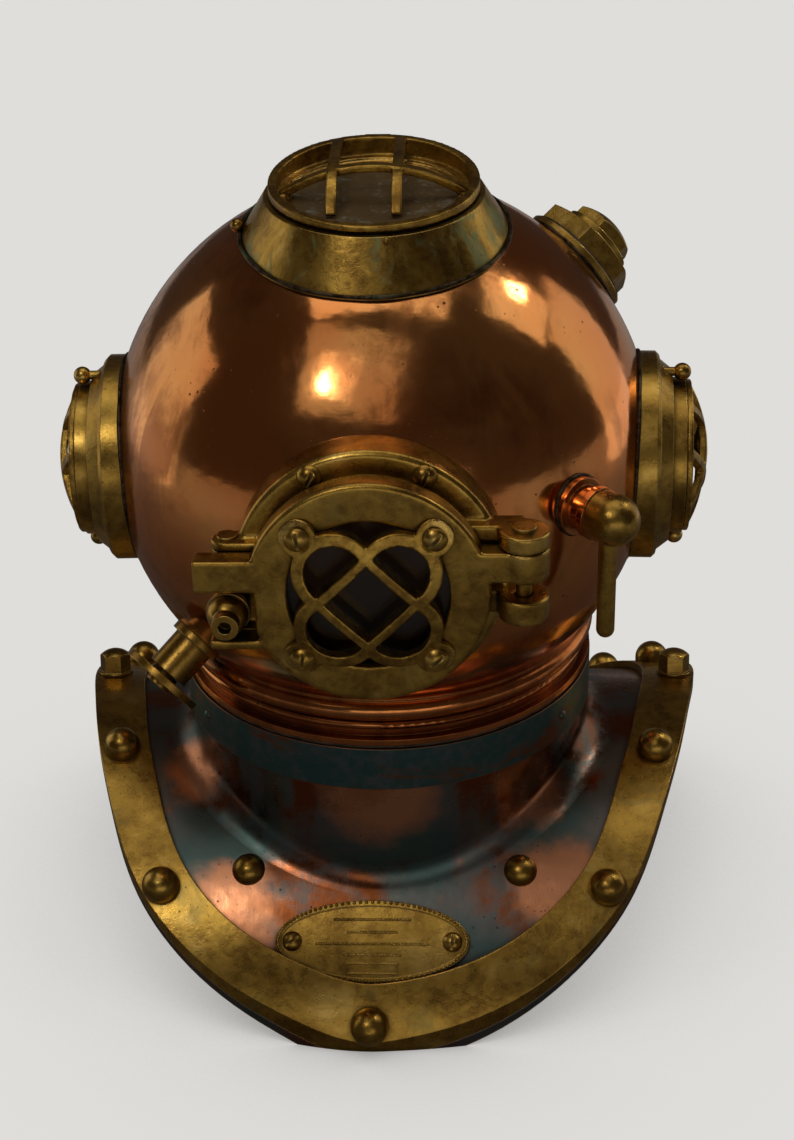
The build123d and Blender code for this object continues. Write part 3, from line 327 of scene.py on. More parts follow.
def polished_copper():
    """The sphere: rubbed bright, with brown tarnish, dark pits and fine scratches."""
    tint = colours()
    paint = Paint("polished_copper")
    cloud = paint.noise(*COPPER_CLOUD)
    smear = paint.noise(*COPPER_SMEAR)
    rubbed = paint.noise(*COPPER_RUBBED)
    fine = paint.noise(*COPPER_SCRATCH)
    tarnish = (cloud * 0.62 + smear * 0.38).fade(0.45, 0.63)
    base = paint.mix(rubbed.fade(0.42, 0.66), tint.copper, tint.copper_pale)
    base = paint.mix(tarnish * 0.8, base, tint.copper_brown)
    # Painted shade: occlusion darkens the copper towards black in corners and under fittings
    corner_shade = paint.corners(COPPER_SHADE_REACH).fade(0.18, 0.8)
    base = paint.mix(corner_shade * 0.9, base, tint.black_tarnish_and_shade)
    pits = paint.spots(COPPER_PIT) + (paint.noise(*COPPER_PIT_RAGGED) - 0.5) * 0.4
    pits = 1.0 - pits.fade(0.05, 0.14)
    pits = pits * paint.noise(*COPPER_PIT_GROUP).fade(0.47, 0.6)
    base = paint.mix(pits * 0.85, base, tint.black_tarnish_and_shade)
    flecks = 1.0 - paint.spots(COPPER_FLECK).fade(0.08, 0.2)
    flecks = flecks * paint.noise(*COPPER_FLECK_GROUP).fade(0.52, 0.7)
    base = paint.mix(flecks * 0.6, base, tint.copper_brown)
    rough = 0.07 + tarnish * 0.12 + smear * 0.06 + pits * 0.3 + corner_shade * 0.3 + fine * 0.04
    relief = paint.noise(*COPPER_WAVE) * 0.9 + fine * 0.03 - pits * 0.12
    return paint.surface(base, rough, relief + paint.noise(*COPPER_DENT) * 0.08, COPPER_RELIEF)


# Patterns of the breastplate, and the bare patches on it: place and reach in metres
PLATE_CLOUD = (0.07, 6.0, 0.6, 0.8)
PLATE_MOTTLE = (0.014, 6.0, 0.7, 0.4)
PLATE_SCRATCH = (0.0012, 2.0, 0.6, 0.0, (1.0, 0.2, 0.2))
PLATE_TEAL, PLATE_WAVE = (0.06, 4.0, 0.5, 0.5), (0.02, 2.0)
PLATE_SPOT, PLATE_SHADE_REACH, PLATE_RELIEF = 0.004, 0.014, 0.0004
BARE_PATCHES = (
    ((-0.088, -0.132, 0.062), 0.036), ((0.098, -0.118, 0.075), 0.034),
    ((0.085, -0.085, 0.115), 0.03), ((-0.11, -0.05, 0.1), 0.028),
    ((0.0, -0.114, 0.132), 0.04), ((0.07, 0.13, 0.07), 0.05), ((-0.09, 0.12, 0.08), 0.04),
)


def patinated_copper():
    """The breastplate: brown copper with blue-grey patina, and bare pink patches."""
    tint = colours()
    paint = Paint("patinated_copper")
    cloud = paint.noise(*PLATE_CLOUD)
    small = paint.noise(*PLATE_MOTTLE)
    fine = paint.noise(*PLATE_SCRATCH)
    base = paint.mix(cloud.fade(0.45, 0.66) * 0.55, tint.copper_brown, tint.copper)
    bloom = (cloud * 0.75 + small * 0.25).fade(0.4, 0.54)
    base = paint.mix(bloom * 0.9, base, tint.slate)
    base = paint.mix(paint.noise(*PLATE_TEAL).fade(0.48, 0.66) * 0.7, base, tint.teal)
    bare = paint.near(*BARE_PATCHES[0])
    for patch in BARE_PATCHES[1:]:
        bare = paint.maths("MAXIMUM", bare, paint.near(*patch))
    base = paint.mix(bare * 0.8, base, tint.salmon)
    # Painted shade: occlusion darkens the breastplate towards black in corners and under parts
    corner_shade = paint.corners(PLATE_SHADE_REACH).fade(0.25, 0.85)
    base = paint.mix(corner_shade * 0.9, base, tint.black_tarnish_and_shade)
    spots = (1.0 - paint.spots(PLATE_SPOT).fade(0.07, 0.2)) * small.fade(0.48, 0.62)
    base = paint.mix(spots * 0.7, base, tint.black_tarnish_and_shade)
    base = paint.mix(paint.edges() * 0.6, base, tint.copper_pale)
    rough = 0.14 + bloom * 0.16 + small * 0.08 + corner_shade * 0.3 + spots * 0.2 + fine * 0.06 - bare * 0.05
    relief = paint.noise(*PLATE_WAVE) * 0.8 + small * 0.12 + fine * 0.04 - spots * 0.1
    return paint.surface(base, rough, relief, PLATE_RELIEF)


# Patterns of the brass
BRASS_CLOUD, BRASS_MOTTLE = (0.04, 6.0, 0.62, 0.7), (0.008, 6.0, 0.7, 0.3)
BRASS_GRAIN = (0.0007, 2.0, 0.6)
BRASS_RUBBED, BRASS_DENT = (0.02, 3.0), (0.003, 3.0)
BRASS_BLOOM = (0.022, 5.0, 0.7, 0.5, (1.0, 1.0, 0.4))
BRASS_SPOT, BRASS_SHADE_REACH, BRASS_RELIEF = 0.0032, 0.006, 0.00035
# Kinds of brass: how dark it is, how much green grows on it and how much of it is rubbed bright
BRASS_KINDS = {
    "window_brass": (0.08, 0.12, 0.45), "cone_brass": (0.0, 0.7, 0.7), "strap_brass": (0.05, 0.2, 0.5),
    "nut_brass": (0.2, 0.1, 0.6), "valve_brass": (0.75, 0.05, 0.2), "plate_brass": (0.1, 0.05, 0.45),
    "cast_brass": (0.05, 0.1, 0.45), "plate_beads": (0.0, 0.0, 0.9),
}


def old_brass(name):
    """Cast or rolled brass: painted shade dark in the corners, bright where it's rubbed."""
    dark, green, shine = BRASS_KINDS[name]
    tint = colours()
    paint = Paint(name)
    cloud = paint.noise(*BRASS_CLOUD)
    small = paint.noise(*BRASS_MOTTLE)
    grain = paint.noise(*BRASS_GRAIN)
    base = paint.mix((cloud * 0.6 + small * 0.4).fade(0.36, 0.6), tint.brass_dark, tint.brass)
    base = paint.mix(dark, base, tint.brass_dark)
    rubbed = (cloud * 0.5 + paint.noise(*BRASS_RUBBED) * 0.5).fade(0.52, 0.68)
    base = paint.mix(rubbed * shine, base, tint.brass_bright)
    bloom = paint.noise(*BRASS_BLOOM).fade(0.53, 0.66) * green
    base = paint.mix(bloom, base, tint.verdigris)
    # Painted shade: occlusion darkens the brass towards black in its corners
    corner_shade = paint.corners(BRASS_SHADE_REACH).fade(0.14, 0.7)
    base = paint.mix(corner_shade * 0.94, base, tint.grime_and_shade)
    spots = (1.0 - paint.spots(BRASS_SPOT).fade(0.07, 0.2)) * small.fade(0.5, 0.62)
    base = paint.mix(spots * 0.7, base, tint.grime_and_shade)
    edge = paint.edges() * (0.55 + small * 0.6)
    base = paint.mix(edge, base, tint.brass_bright)
    rough = 0.18 + small * 0.15 + corner_shade * 0.35 + spots * 0.2 + grain * 0.06
    rough = rough + bloom * 0.25 - edge * 0.08
    relief = small * 0.5 + grain * 0.08 + paint.noise(*BRASS_DENT) * 0.18 - spots * 0.15
    return paint.surface(base, rough, relief, BRASS_RELIEF)


# Patterns of the guards
GUARD_CLOUD, GUARD_MOTTLE = (0.03, 6.0, 0.62, 0.7), (0.005, 6.0, 0.7, 0.3)
GUARD_CRUST, GUARD_CRUST_REACH, GUARD_DENT = (0.0035, 4.0, 0.7), 0.02, (0.0025, 3.0)
GUARD_SHADE_REACH, GUARD_RIDGE, GUARD_RELIEF = 0.009, 0.003, 0.0004


def barred_brass():
    """The guards: painted shade and a dark crust between the bars, and bright brass on what sticks out.
    """
    tint = colours()
    paint = Paint("guard_brass")
    cloud = paint.noise(*GUARD_CLOUD)
    small = paint.noise(*GUARD_MOTTLE)
    base = paint.mix((cloud * 0.5 + small * 0.5).fade(0.4, 0.6), tint.brass_dark, tint.brass)
    # Painted shade: occlusion darkens the guard towards black between the bars
    corner_shade = paint.corners(GUARD_SHADE_REACH).fade(0.3, 0.85)
    base = paint.mix(corner_shade * 0.95, base, tint.grime_and_shade)
    # Patchy dark crust laid only where the occlusion shades, so partly dirt and partly painted shade
    crust_and_shade = paint.noise(*GUARD_CRUST).fade(0.5, 0.6) * paint.corners(GUARD_CRUST_REACH).fade(0.3, 0.6)
    base = paint.mix(crust_and_shade * 0.7, base, tint.grime_and_shade)
    ridge = paint.ridges(GUARD_RIDGE).fade(0.35, 0.9) * (1.0 - corner_shade * 0.7)
    base = paint.mix(ridge * (0.3 + small * 0.6), base, tint.brass_bright)
    rough = 0.24 + small * 0.14 + corner_shade * 0.4 + crust_and_shade * 0.3 - ridge * 0.08
    relief = small * 0.7 + paint.noise(*GUARD_DENT) * 0.3 + crust_and_shade * 0.5
    return paint.surface(base, rough, relief, GUARD_RELIEF)


# Patterns of the collar band
BAND_CLOUD, BAND_MOTTLE = (0.05, 6.0, 0.65, 0.6, (1.0, 1.0, 2.2)), (0.009, 5.0, 0.7)
BAND_WAVE, BAND_SHADE_REACH, BAND_RELIEF = (0.02, 2.0), 0.006, 0.0003


def tinned_band():
    """The collar: copper that has gone blue-green, rubbed through here and there."""
    tint = colours()
    paint = Paint("tinned_band")
    cloud = paint.noise(*BAND_CLOUD)
    small = paint.noise(*BAND_MOTTLE)
    base = paint.mix(small.fade(0.4, 0.65), tint.teal, tint.slate)
    base = paint.mix(cloud.fade(0.52, 0.66) * 0.8, base, tint.copper_brown)
    # Painted shade: occlusion darkens the collar towards black in its corners
    corner_shade = paint.corners(BAND_SHADE_REACH).fade(0.2, 0.8)
    base = paint.mix(corner_shade * 0.85, base, tint.black_tarnish_and_shade)
    edge = paint.edges()
    base = paint.mix(edge * 0.75, base, tint.copper)
    rough = 0.3 + small * 0.22 + corner_shade * 0.2 - edge * 0.1
    return paint.surface(base, rough, small * 0.4 + paint.noise(*BAND_WAVE) * 0.5, BAND_RELIEF)


# Patterns of the solder, the leather, the rubber and the glass
SOLDER_MOTTLE, SOLDER_BLOOM, SOLDER_RELIEF = (0.006, 5.0, 0.7), (0.03,), 0.0003
LEATHER_MOTTLE, LEATHER_PORE, LEATHER_RELIEF = (0.01, 5.0), 0.0012, 0.0002
RUBBER_DUST, RUBBER_RELIEF = (0.006, 5.0, 0.7), 0.0001
GLASS_SMEAR, GLASS_LUMP = (0.012, 5.0, 0.65, 0.8), (0.003, 4.0, 0.7)
GLASS_SHADE_REACH, GLASS_RELIEF = 0.01, 0.00004
# How much glass bends light, and how much higher lumps of dust stand than smears
GLASS_BENDING, LUMP_HEIGHT = 1.5, 8.0
# Kinds of glass: share of dust, and how clear it is
GLASS_KINDS = {"window_glass": (0.15, 1.0), "dusty_glass": (1.0, 0.25)}


def solder():
    tint = colours()
    paint = Paint("solder")
    small = paint.noise(*SOLDER_MOTTLE)
    base = paint.mix(small.fade(0.4, 0.62), tint.solder, tint.grime_and_shade)
    base = paint.mix(paint.noise(*SOLDER_BLOOM).fade(0.55, 0.7) * 0.6, base, tint.verdigris)
    return paint.surface(base, 0.38 + small * 0.3, small, SOLDER_RELIEF)


def leather():
    tint = colours()
    paint = Paint("leather")
    grain = paint.spots(LEATHER_PORE)
    base = paint.mix(paint.noise(*LEATHER_MOTTLE).fade(0.4, 0.65), tint.leather, tint.grime_and_shade)
    return paint.surface(base, 0.55 + grain * 0.2, grain, LEATHER_RELIEF, metallic=0.0)


def rubber():
    tint = colours()
    paint = Paint("rubber")
    dust = paint.noise(*RUBBER_DUST)
    base = paint.mix(dust.fade(0.5, 0.7) * 0.4, tint.rubber, tint.slate)
    return paint.surface(base, 0.6 + dust * 0.2, dust, RUBBER_RELIEF, metallic=0.0)


def window_glass(name):
    """Thick glass with painted shade and a rougher surface towards its edge, and a share of dust all
    over.
    """
    dust, clearness = GLASS_KINDS[name]
    tint = colours()
    paint = Paint(name)
    smear = paint.noise(*GLASS_SMEAR)
    lump = paint.noise(*GLASS_LUMP)
    # Painted shade: occlusion darkens the glass towards black where the frame meets it, and makes it
    # rougher there
    grime_and_shade = paint.corners(GLASS_SHADE_REACH).fade(0.35, 0.9)
    base = paint.mix((smear * 0.5 + lump * 0.5).fade(0.28, 0.5) * dust, tint.glass, tint.dust)
    base = paint.mix(grime_and_shade * 0.85, base, tint.grime_and_shade)
    rough = 0.03 + smear.fade(0.5, 0.75) * 0.1 + grime_and_shade * 0.3 + dust * 0.4
    extra = {"Transmission Weight": clearness, "IOR": GLASS_BENDING}
    relief = smear + lump * dust * LUMP_HEIGHT
    return paint.surface(base, rough, relief, GLASS_RELIEF, metallic=0.0, extra=extra)


# How far from the helmet its shadow on the floor reaches, and how much corner makes it full
SHADOW_REACH, SHADOW_FULL = 0.22, 0.8
# How far away, and how much, the floor brightens in the metal's reflections
MIRRORED_FADE = (0.2, 1.7)
MIRRORED_SHARE = 0.28
FLOOR_SIZE, FLOOR_MIDDLE = 12.0, (0.0, 0.0, 0.0)
VIEW_END = 50.0


def stage_material():
    """A plain pale floor, darker close to the object, that the metal mirrors only dimly."""
    tint = colours()
    paint = Paint("stage")
    pale = paint.node("ShaderNodeEmission", {}, {"Color": paint.solid(tint.backdrop)})
    shade = paint.node("ShaderNodeEmission", {}, {"Color": paint.solid(tint.shadow)})
    mirrored = paint.node("ShaderNodeEmission", {}, {"Color": paint.solid(tint.surroundings)})
    seen = paint.blend(paint.corners(SHADOW_REACH).fade(0.0, SHADOW_FULL), pale, shade)
    far = paint.distance(FLOOR_MIDDLE).fade(*MIRRORED_FADE) * MIRRORED_SHARE
    mirrored = paint.blend(far, mirrored, pale)
    path = paint.node("ShaderNodeLightPath", {}, {})
    dim = Value(paint, path.outputs["Is Glossy Ray"])
    paint.node("ShaderNodeOutputMaterial", {}, {"Surface": paint.blend(dim, seen, mirrored)})
    return paint.material


def surroundings():
    """A pale background to the eye, and dim surroundings for the metal to mirror."""
    tint = colours()
    paint = Paint("studio", bpy.data.worlds)
    pale = paint.node("ShaderNodeBackground", {}, {"Color": paint.solid(tint.backdrop)})
    dim = paint.node("ShaderNodeBackground", {}, {"Color": paint.solid(tint.surroundings)})
    path = paint.node("ShaderNodeLightPath", {}, {})
    seen = Value(paint, path.outputs["Is Camera Ray"])
    paint.node("ShaderNodeOutputWorld", {}, {"Surface": paint.blend(seen, dim, pale)})
    return paint.material


SIDES = ("left", "right")
# Radii of three flanges on the sphere
INLET_FLANGE, COCK_FLANGE, EXHAUST_FLANGE = 0.034, 0.0155, 0.015


def centre(node):
    low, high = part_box(node)
    return (Vector(low) + Vector(high)) / 2


def upright_radius(node):
    """Half the height of a round piece that stands upright."""
    low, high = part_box(node)
    return (high[2] - low[2]) / 2


def sphere():
    """The middle and radius of the copper sphere, from the frame."""
    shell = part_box("bonnet_shell")
    axis = joints["bonnet_turn"]["pos_m"][1]
    reach = shell[1][1] - axis
    inlet = centre("inlet_plug") - centre("inlet_fitting")
    height = centre("inlet_plug").z - inlet.z * centre("inlet_plug").x / inlet.x
    return Vector((0.0, axis, height)), reach


def fittings():
    """Origin, direction, radius and spread of each round fitting that is soldered to the sphere."""
    middle, _ = sphere()
    plug = centre("inlet_plug")
    top = (centre("top_window_glass") - centre("top_window_gasket")).normalized()
    door = Vector((0.0, middle.y, centre("door_glass").z))
    size = sizes()
    made = [
        (door, Vector((0, -1, 0)), upright_radius("frame_screws"), 0.0),
        (centre("top_window_glass"), top, size.cone_top, size.cone_spread),
        (plug, (plug - middle).normalized(), INLET_FLANGE, 0.0),
    ]
    for side in SIDES:
        glass = centre(f"{side}_window_glass")
        way = glass - Vector((middle.x, middle.y, glass.z))
        made.append((glass, way.normalized(), upright_radius(f"{side}_window_collar"), 0.0))
    for name, radius in (("cock_turn", COCK_FLANGE), ("wheel_turn", EXHAUST_FLANGE)):
        way = Vector(joints[name]["axis"]).normalized()
        made.append((Vector(joints[name]["pos_m"]), way, radius, 0.0))
    return [
        (spot - way * (spot - middle).dot(way), way, radius, spread)
        for spot, way, radius, spread in made
    ]


# Points round a seam, sides of its bead, and steps that bring a point onto the sphere
SEAM_POINTS, SEAM_SIDES, SEAM_ROUNDS = 120, 8, 12
# The waves that make a bead uneven: how many, their turns round the ring and their shares
WAVE_COUNT, WAVE_TURNS, WAVE_SHARES = 6, (2, 17), (0.3, 1.0)
SEAM_SEED = 4
# How far one round of smoothing moves a casting's surface, as a share
SMOOTHING = 0.5


def new_piece(name, mesh, body, material):
    """A piece of the object in the scene, riding on a body."""
    piece = bpy.data.objects.new(name, mesh)
    bpy.context.collection.objects.link(piece)
    mesh.materials.clear()
    mesh.materials.append(material)
    for face in mesh.polygons:
        face.use_smooth = True
    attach(piece, body)
    return piece


def mesh_from(name, build):
    """A mesh that a function fills."""
    shape = bmesh.new()
    build(shape)
    bmesh.ops.recalc_face_normals(shape, faces=shape.faces)
    mesh = bpy.data.meshes.new(name)
    shape.to_mesh(mesh)
    shape.free()
    return mesh


def bead_round(shape, points, thickness, sides):
    """Adds a closed bead that follows a ring of points, with a thickness at each."""
    count = len(points)
    middle = sum(points, Vector()) / count
    rings = []
    for index, point in enumerate(points):
        ahead = (points[(index + 1) % count] - points[index - 1]).normalized()
        out = (point - middle).normalized()
        side = ahead.cross(out).normalized()
        out = side.cross(ahead)
        ring = []
        for step in range(sides):
            turn = 2 * pi * step / sides
            offset = (out * cos(turn) + side * sin(turn)) * thickness[index]
            ring.append(shape.verts.new(point + offset))
        rings.append(ring)
    for index, ring in enumerate(rings):
        follower = rings[(index + 1) % count]
        for step in range(sides):
            near = (step + 1) % sides
            shape.faces.new((ring[step], ring[near], follower[near], follower[step]))


def seam_points(origin, way, radius, spread):
    """Points where a round fitting meets the sphere, also one that gets wider as it goes down."""
    middle, reach = sphere()
    tip = sizes().cone_reach
    across = way.orthogonal().normalized()
    up = way.cross(across)
    points = []
    for index in range(SEAM_POINTS):
        turn = 2 * pi * index / SEAM_POINTS
        out = across * cos(turn) + up * sin(turn)
        along = reach
        for _ in range(SEAM_ROUNDS):
            start = origin + out * (radius + spread * (tip - along))
            along = sqrt(reach**2 - (start - middle).length_squared)
        points.append(start + way * along)
    return points


def uneven(count, rng, amount):
    """Smoothly varying shares about 1, that meet round a ring."""
    waves = [
        (rng.randint(*WAVE_TURNS), rng.uniform(0, 2 * pi), rng.uniform(*WAVE_SHARES))
        for _ in range(WAVE_COUNT)
    ]
    whole = sum(wave[2] for wave in waves)
    return [
        1 + amount * sum(w * sin(n * 2 * pi * i / count + p) for n, p, w in waves) / whole
        for i in range(count)
    ]


class HELMET_OT_solder_seams(bpy.types.Operator):
    """Adds the bead of solder round each fitting on the sphere"""

    bl_idname = "helmet.solder_seams"
    bl_label = "Solder seams"

    def execute(self, context):
        size = sizes()
        rng = random.Random(SEAM_SEED)
        metal = solder()
        for number, fitting in enumerate(fittings()):
            points = seam_points(*fitting)
            shares = uneven(len(points), rng, size.seam_unevenness)
            name = f"solder_seam_{number}"
            mesh = mesh_from(name, lambda shape: bead_round(
                shape, points, [size.seam * part for part in shares], SEAM_SIDES))
            new_piece(name, mesh, "bonnet", metal)
        return {"FINISHED"}


def soft_copy(node, cell, rounds):
    """A mesh like a node's, with the edges that casting and wear have rounded."""
    source = frame["nodes"][node]
    holder = bpy.data.objects.new(f"{node}_holder", source.data.copy())
    bpy.context.collection.objects.link(holder)
    remesh = holder.modifiers.new("cells", "REMESH")
    remesh.mode = "VOXEL"
    remesh.voxel_size = cell
    smooth = holder.modifiers.new("soft", "SMOOTH")
    smooth.factor = SMOOTHING
    smooth.iterations = rounds
    graph = bpy.context.evaluated_depsgraph_get()
    mesh = bpy.data.meshes.new_from_object(holder.evaluated_get(graph))
    bpy.data.objects.remove(holder)
    mesh.name = f"{node}_cast"
    return mesh


# Castings: node, body, slot, whether it is a small one and how often its surface is smoothed
CASTINGS = (
    ("door_guard", "door", "guard_brass", True, 6),
    ("top_window_guard", "bonnet", "guard_brass", True, 6),
    ("left_window_guard", "bonnet", "guard_brass", True, 6),
    ("right_window_guard", "bonnet", "guard_brass", True, 6),
    ("front_door", "door", "window_brass", False, 5),
    ("front_window_frame", "bonnet", "window_brass", False, 6),
)


class HELMET_OT_castings(bpy.types.Operator):
    """Rounds the edges of the barred guards, the door and its frame as a casting's are"""

    bl_idname = "helmet.castings"
    bl_label = "Castings"

    def execute(self, context):
        metals = {True: barred_brass(), False: old_brass("cast_brass")}
        grains = {True: sizes().fine_grain, False: sizes().cast_grain}
        for node, body, slot, small, rounds in CASTINGS:
            mesh = soft_copy(node, grains[small], rounds)
            if not mesh.polygons:
                raise RuntimeError(f"{node} left no mesh")
            piece = new_piece(f"{node}_cast", mesh, body, metals[small])
            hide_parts(node)
        return {"FINISHED"}


def plate_frame():
    """The nameplate's middle, the axis of its bend, and half its width and length."""
    low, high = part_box("nameplate")
    axis = joints["bonnet_turn"]["pos_m"][1]
    reach = sizes().arch + sizes().rim_lift
    forward = turn_of((axis - low[1]) / reach)
    back = turn_of((axis - high[1]) / sizes().arch)
    middle = ((low[0] + high[0]) / 2, (forward + back) / 2)
    return axis, middle, (high[0] - low[0]) / 2, reach * (forward - back) / 2


def turn_of(sine):
    return atan2(sine, sqrt(1 - sine**2))


def on_plate(x, along, lift):
    """A place on the nameplate: right, up the slope and above the copper."""
    axis, middle, _, _ = plate_frame()
    turn = middle[1] - along / sizes().arch
    reach = sizes().arch + lift
    height = sizes().arch_top - sizes().arch
    return Vector((middle[0] + x, axis - reach * sin(turn), height + reach * cos(turn)))


# Beads on the nameplate's border, and the faces round and along each
BEAD_COUNT, BEAD_AROUND, BEAD_RINGS = 96, 10, 6
# The plain lines: their height and half their length, as shares of half the plate
PLATE_LINES = ((0.52, 0.40), (0.22, 0.26), (-0.06, 0.58), (-0.32, 0.30))
# Pieces of a line along the bend, and its sides
LINE_STEPS, LINE_SIDES = 24, 8


class HELMET_OT_nameplate(bpy.types.Operator):
    """Adds the beaded border and the plain ruled lines of the nameplate"""

    bl_idname = "helmet.nameplate"
    bl_label = "Nameplate"

    def execute(self, context):
        size = sizes()
        _, _, half_width, half_height = plate_frame()
        metal = old_brass("plate_beads")

        def beads(shape):
            for index in range(BEAD_COUNT):
                turn = 2 * pi * index / BEAD_COUNT
                inset = size.rim_width / 2
                x = (half_width - inset) * cos(turn)
                along = (half_height - inset) * sin(turn)
                spot = on_plate(x, along, size.rim_lift)
                bmesh.ops.create_uvsphere(
                    shape, u_segments=BEAD_AROUND, v_segments=BEAD_RINGS, radius=size.bead,
                    matrix=Matrix.Translation(spot),
                )

        def rules(shape):
            for up, half in PLATE_LINES:
                points = []
                for step in range(LINE_STEPS + 1):
                    x = half_width * half * (2 * step / LINE_STEPS - 1)
                    points.append(on_plate(x, half_height * up, size.plate_lift))
                for start, end in zip(points, points[1:]):
                    way = end - start
                    turn = way.to_track_quat("Z", "Y").to_matrix().to_4x4()
                    bmesh.ops.create_cone(
                        shape, cap_ends=True, segments=LINE_SIDES, radius1=size.rule, radius2=size.rule,
                        depth=way.length, matrix=Matrix.Translation((start + end) / 2) @ turn,
                    )

        for name, build in (("nameplate_beads", beads), ("nameplate_rules", rules)):
            new_piece(name, mesh_from(name, build), "breastplate", metal)
        return {"FINISHED"}


def cover(nodes, material):
    """Gives every face of some nodes a material."""
    for node in nodes:
        piece = frame["nodes"][node]
        for slot in piece.material_slots:
            slot.material = material


class HELMET_OT_copper(bpy.types.Operator):
    """Gives the copper pieces their polish, tarnish and patina"""

    bl_idname = "helmet.copper"
    bl_label = "Copper"

    def execute(self, context):
        cover(("bonnet_shell", "bonnet_neck_ring", "spitcock_stub"), polished_copper())
        cover(("breastplate_shell",), patinated_copper())
        cover(("neck_collar_ring", "collar_rivets"), tinned_band())
        return {"FINISHED"}


class HELMET_OT_brass(bpy.types.Operator):
    """Gives the brass pieces their age"""

    bl_idname = "helmet.brass"
    bl_label = "Brass"

    def execute(self, context):
        windows = ["front_window_frame", "hinge_pin", "swing_bolt_pin", "swing_bolt", "front_door"]
        windows += ["door_glass_ring", "exhaust_valve_seat", "exhaust_valve_disc"]
        windows += ["inlet_fitting", "inlet_cap", "inlet_plug"]
        windows += [f"{side}_window_collar" for side in SIDES]
        cover(windows, old_brass("window_brass"))
        cover(("top_window_collar",), old_brass("cone_brass"))
        cover(("front_strap", "rear_strap"), old_brass("strap_brass"))
        nuts = ["strap_studs", "strap_dome_nuts", "shoulder_nuts", "plate_rivets", "nameplate_screws"]
        nuts += ["frame_screws", "clamp_nut", "guard_screws", "top_collar_pins"]
        nuts += ["spitcock_key", "spitcock_lever", *[f"{side}_window_screws" for side in SIDES]]
        cover(nuts, old_brass("nut_brass"))
        cover(("exhaust_body", "exhaust_handwheel"), old_brass("valve_brass"))
        cover(("nameplate",), old_brass("plate_brass"))
        return {"FINISHED"}


class HELMET_OT_seals(bpy.types.Operator):
    """Gives the glasses, the leather and the rubber their surfaces"""

    bl_idname = "helmet.seals"
    bl_label = "Glass and seals"

    def execute(self, context):
        clear = window_glass("window_glass")
        cover(["door_glass", *[f"{side}_window_glass" for side in SIDES]], clear)
        cover(("top_window_glass",), window_glass("dusty_glass"))
        cover(("neck_gasket", "inlet_washer"), leather())
        gaskets = ["door_seal", "door_glass_gasket", "top_window_gasket"]
        cover(gaskets + [f"{side}_window_gasket" for side in SIDES], rubber())
        return {"FINISHED"}


# Lamps: name, direction from the sphere as the camera sees it (right, up, back), distance, size, watts
LAMPS = (
    ("spot_high_left", (-0.346, 0.41, 0.843), 1.3, (0.10, 0.16), 0.8),
    ("glow_high_left", (-0.30, 0.45, 0.84), 1.6, (0.45, 0.5), 0.5),
    ("spot_high_right", (0.67, 0.741, 0.04), 1.4, (0.14, 0.14), 0.85),
    ("glow_high_right", (0.70, 0.70, 0.12), 1.7, (0.6, 0.7), 1.0),
    ("band_left", (-0.93, 0.24, -0.24), 1.4, (0.95, 1.25), 2.1),
    ("band_right", (0.90, 0.32, -0.29), 1.4, (0.7, 1.1), 1.4),
    ("top", (0.0, 0.9, 0.3), 1.4, (1.2, 0.9), 3.0),
    ("front", (-0.19, 0.48, 0.85), 1.6, (1.1, 1.0), 1.3),
    ("low_front", (0.1, -0.35, 0.93), 1.7, (1.6, 0.5), 1.7),
)


def camera_axes():
    """The right, up and back directions of somebody who looks at the sphere from the camera."""
    stage = bpy.context.scene.helmet_stage
    back = Vector((
        sin(stage.azimuth) * cos(stage.elevation), -cos(stage.azimuth) * cos(stage.elevation),
        sin(stage.elevation),
    ))
    right = Vector((cos(stage.azimuth), sin(stage.azimuth), 0.0))
    return right, back.cross(right), back


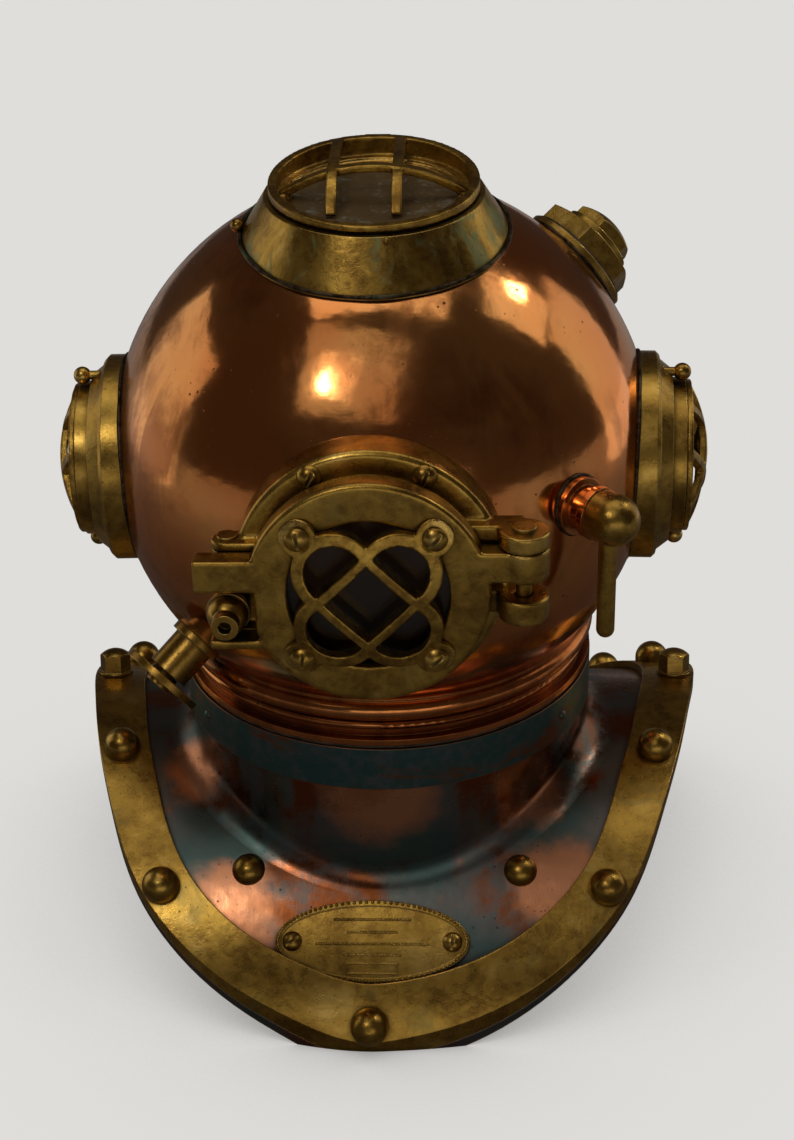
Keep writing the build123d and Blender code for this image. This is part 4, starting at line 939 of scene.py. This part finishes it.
class HELMET_OT_stage(bpy.types.Operator):
    """Sets the floor, the lamps, the surroundings and the camera"""

    bl_idname = "helmet.stage"
    bl_label = "Stage"

    def execute(self, context):
        scene = context.scene
        stage = scene.helmet_stage
        right, up, back = camera_axes()
        middle, _ = sphere()

        bpy.ops.mesh.primitive_plane_add(size=FLOOR_SIZE, location=(0, 0, 0))
        floor = context.object
        floor.name = "floor"
        floor.data.materials.append(stage_material())

        for name, place, distance, size, power in LAMPS:
            data = bpy.data.lights.new(name, "AREA")
            data.shape = "RECTANGLE"
            data.size, data.size_y = size
            data.energy = power
            data.color = colours().lamp
            lamp = bpy.data.objects.new(name, data)
            scene.collection.objects.link(lamp)
            way = right * place[0] + up * place[1] + back * place[2]
            lamp.location = middle + way.normalized() * distance
            lamp.rotation_mode = "QUATERNION"
            lamp.rotation_quaternion = (middle - lamp.location).to_track_quat("-Z", "Y")

        data = bpy.data.cameras.new("camera")
        data.lens = stage.lens
        data.clip_end = VIEW_END
        camera = bpy.data.objects.new("camera", data)
        scene.collection.objects.link(camera)
        axes = Matrix((right, up, back)).transposed()
        turn = axes.to_quaternion()
        turn = turn @ Matrix.Rotation(-stage.pan, 3, "Y").to_quaternion()
        turn = turn @ Matrix.Rotation(-stage.tilt, 3, "X").to_quaternion()
        turn = turn @ Matrix.Rotation(-stage.roll, 3, "Z").to_quaternion()
        camera.location = middle + back * stage.distance
        camera.rotation_mode = "QUATERNION"
        camera.rotation_quaternion = turn
        scene.camera = camera
        scene.world = surroundings()
        scene.render.engine = "CYCLES"
        scene.view_settings.view_transform = "Standard"
        if scene.camera is None:
            raise RuntimeError("the stage has no camera")
        return {"FINISHED"}


class HELMET_PT_panel(bpy.types.Panel):
    """The helmet's tab in the sidebar"""

    bl_idname = "HELMET_PT_panel"
    bl_label = "Diving helmet"
    bl_space_type = "VIEW_3D"
    bl_region_type = "UI"
    bl_category = "Helmet"

    def draw(self, context):
        for operator in OPERATORS:
            self.layout.operator(operator.bl_idname)
        for name in GROUPS:
            group = getattr(context.scene, name)
            box = self.layout.box()
            for field in group.__annotations__:
                box.prop(group, field)


OPERATORS = (
    HELMET_OT_copper, HELMET_OT_brass, HELMET_OT_seals, HELMET_OT_solder_seams,
    HELMET_OT_castings, HELMET_OT_nameplate, HELMET_OT_stage,
)
GROUPS = {"helmet_sizes": HelmetSizes, "helmet_colours": HelmetColours, "helmet_stage": HelmetStage}


def register():
    for part in (*GROUPS.values(), *OPERATORS, HELMET_PT_panel):
        bpy.utils.register_class(part)
    for name, group in GROUPS.items():
        setattr(bpy.types.Scene, name, PointerProperty(type=group))


def unregister():
    for name in GROUPS:
        delattr(bpy.types.Scene, name)
    for part in (HELMET_PT_panel, *reversed(OPERATORS), *reversed(GROUPS.values())):
        bpy.utils.unregister_class(part)


def main():
    register()
    bpy.ops.helmet.copper()
    bpy.ops.helmet.brass()
    bpy.ops.helmet.seals()
    bpy.ops.helmet.solder_seams()
    bpy.ops.helmet.castings()
    bpy.ops.helmet.nameplate()
    bpy.ops.helmet.stage()


if __name__ == "__main__":
    main()
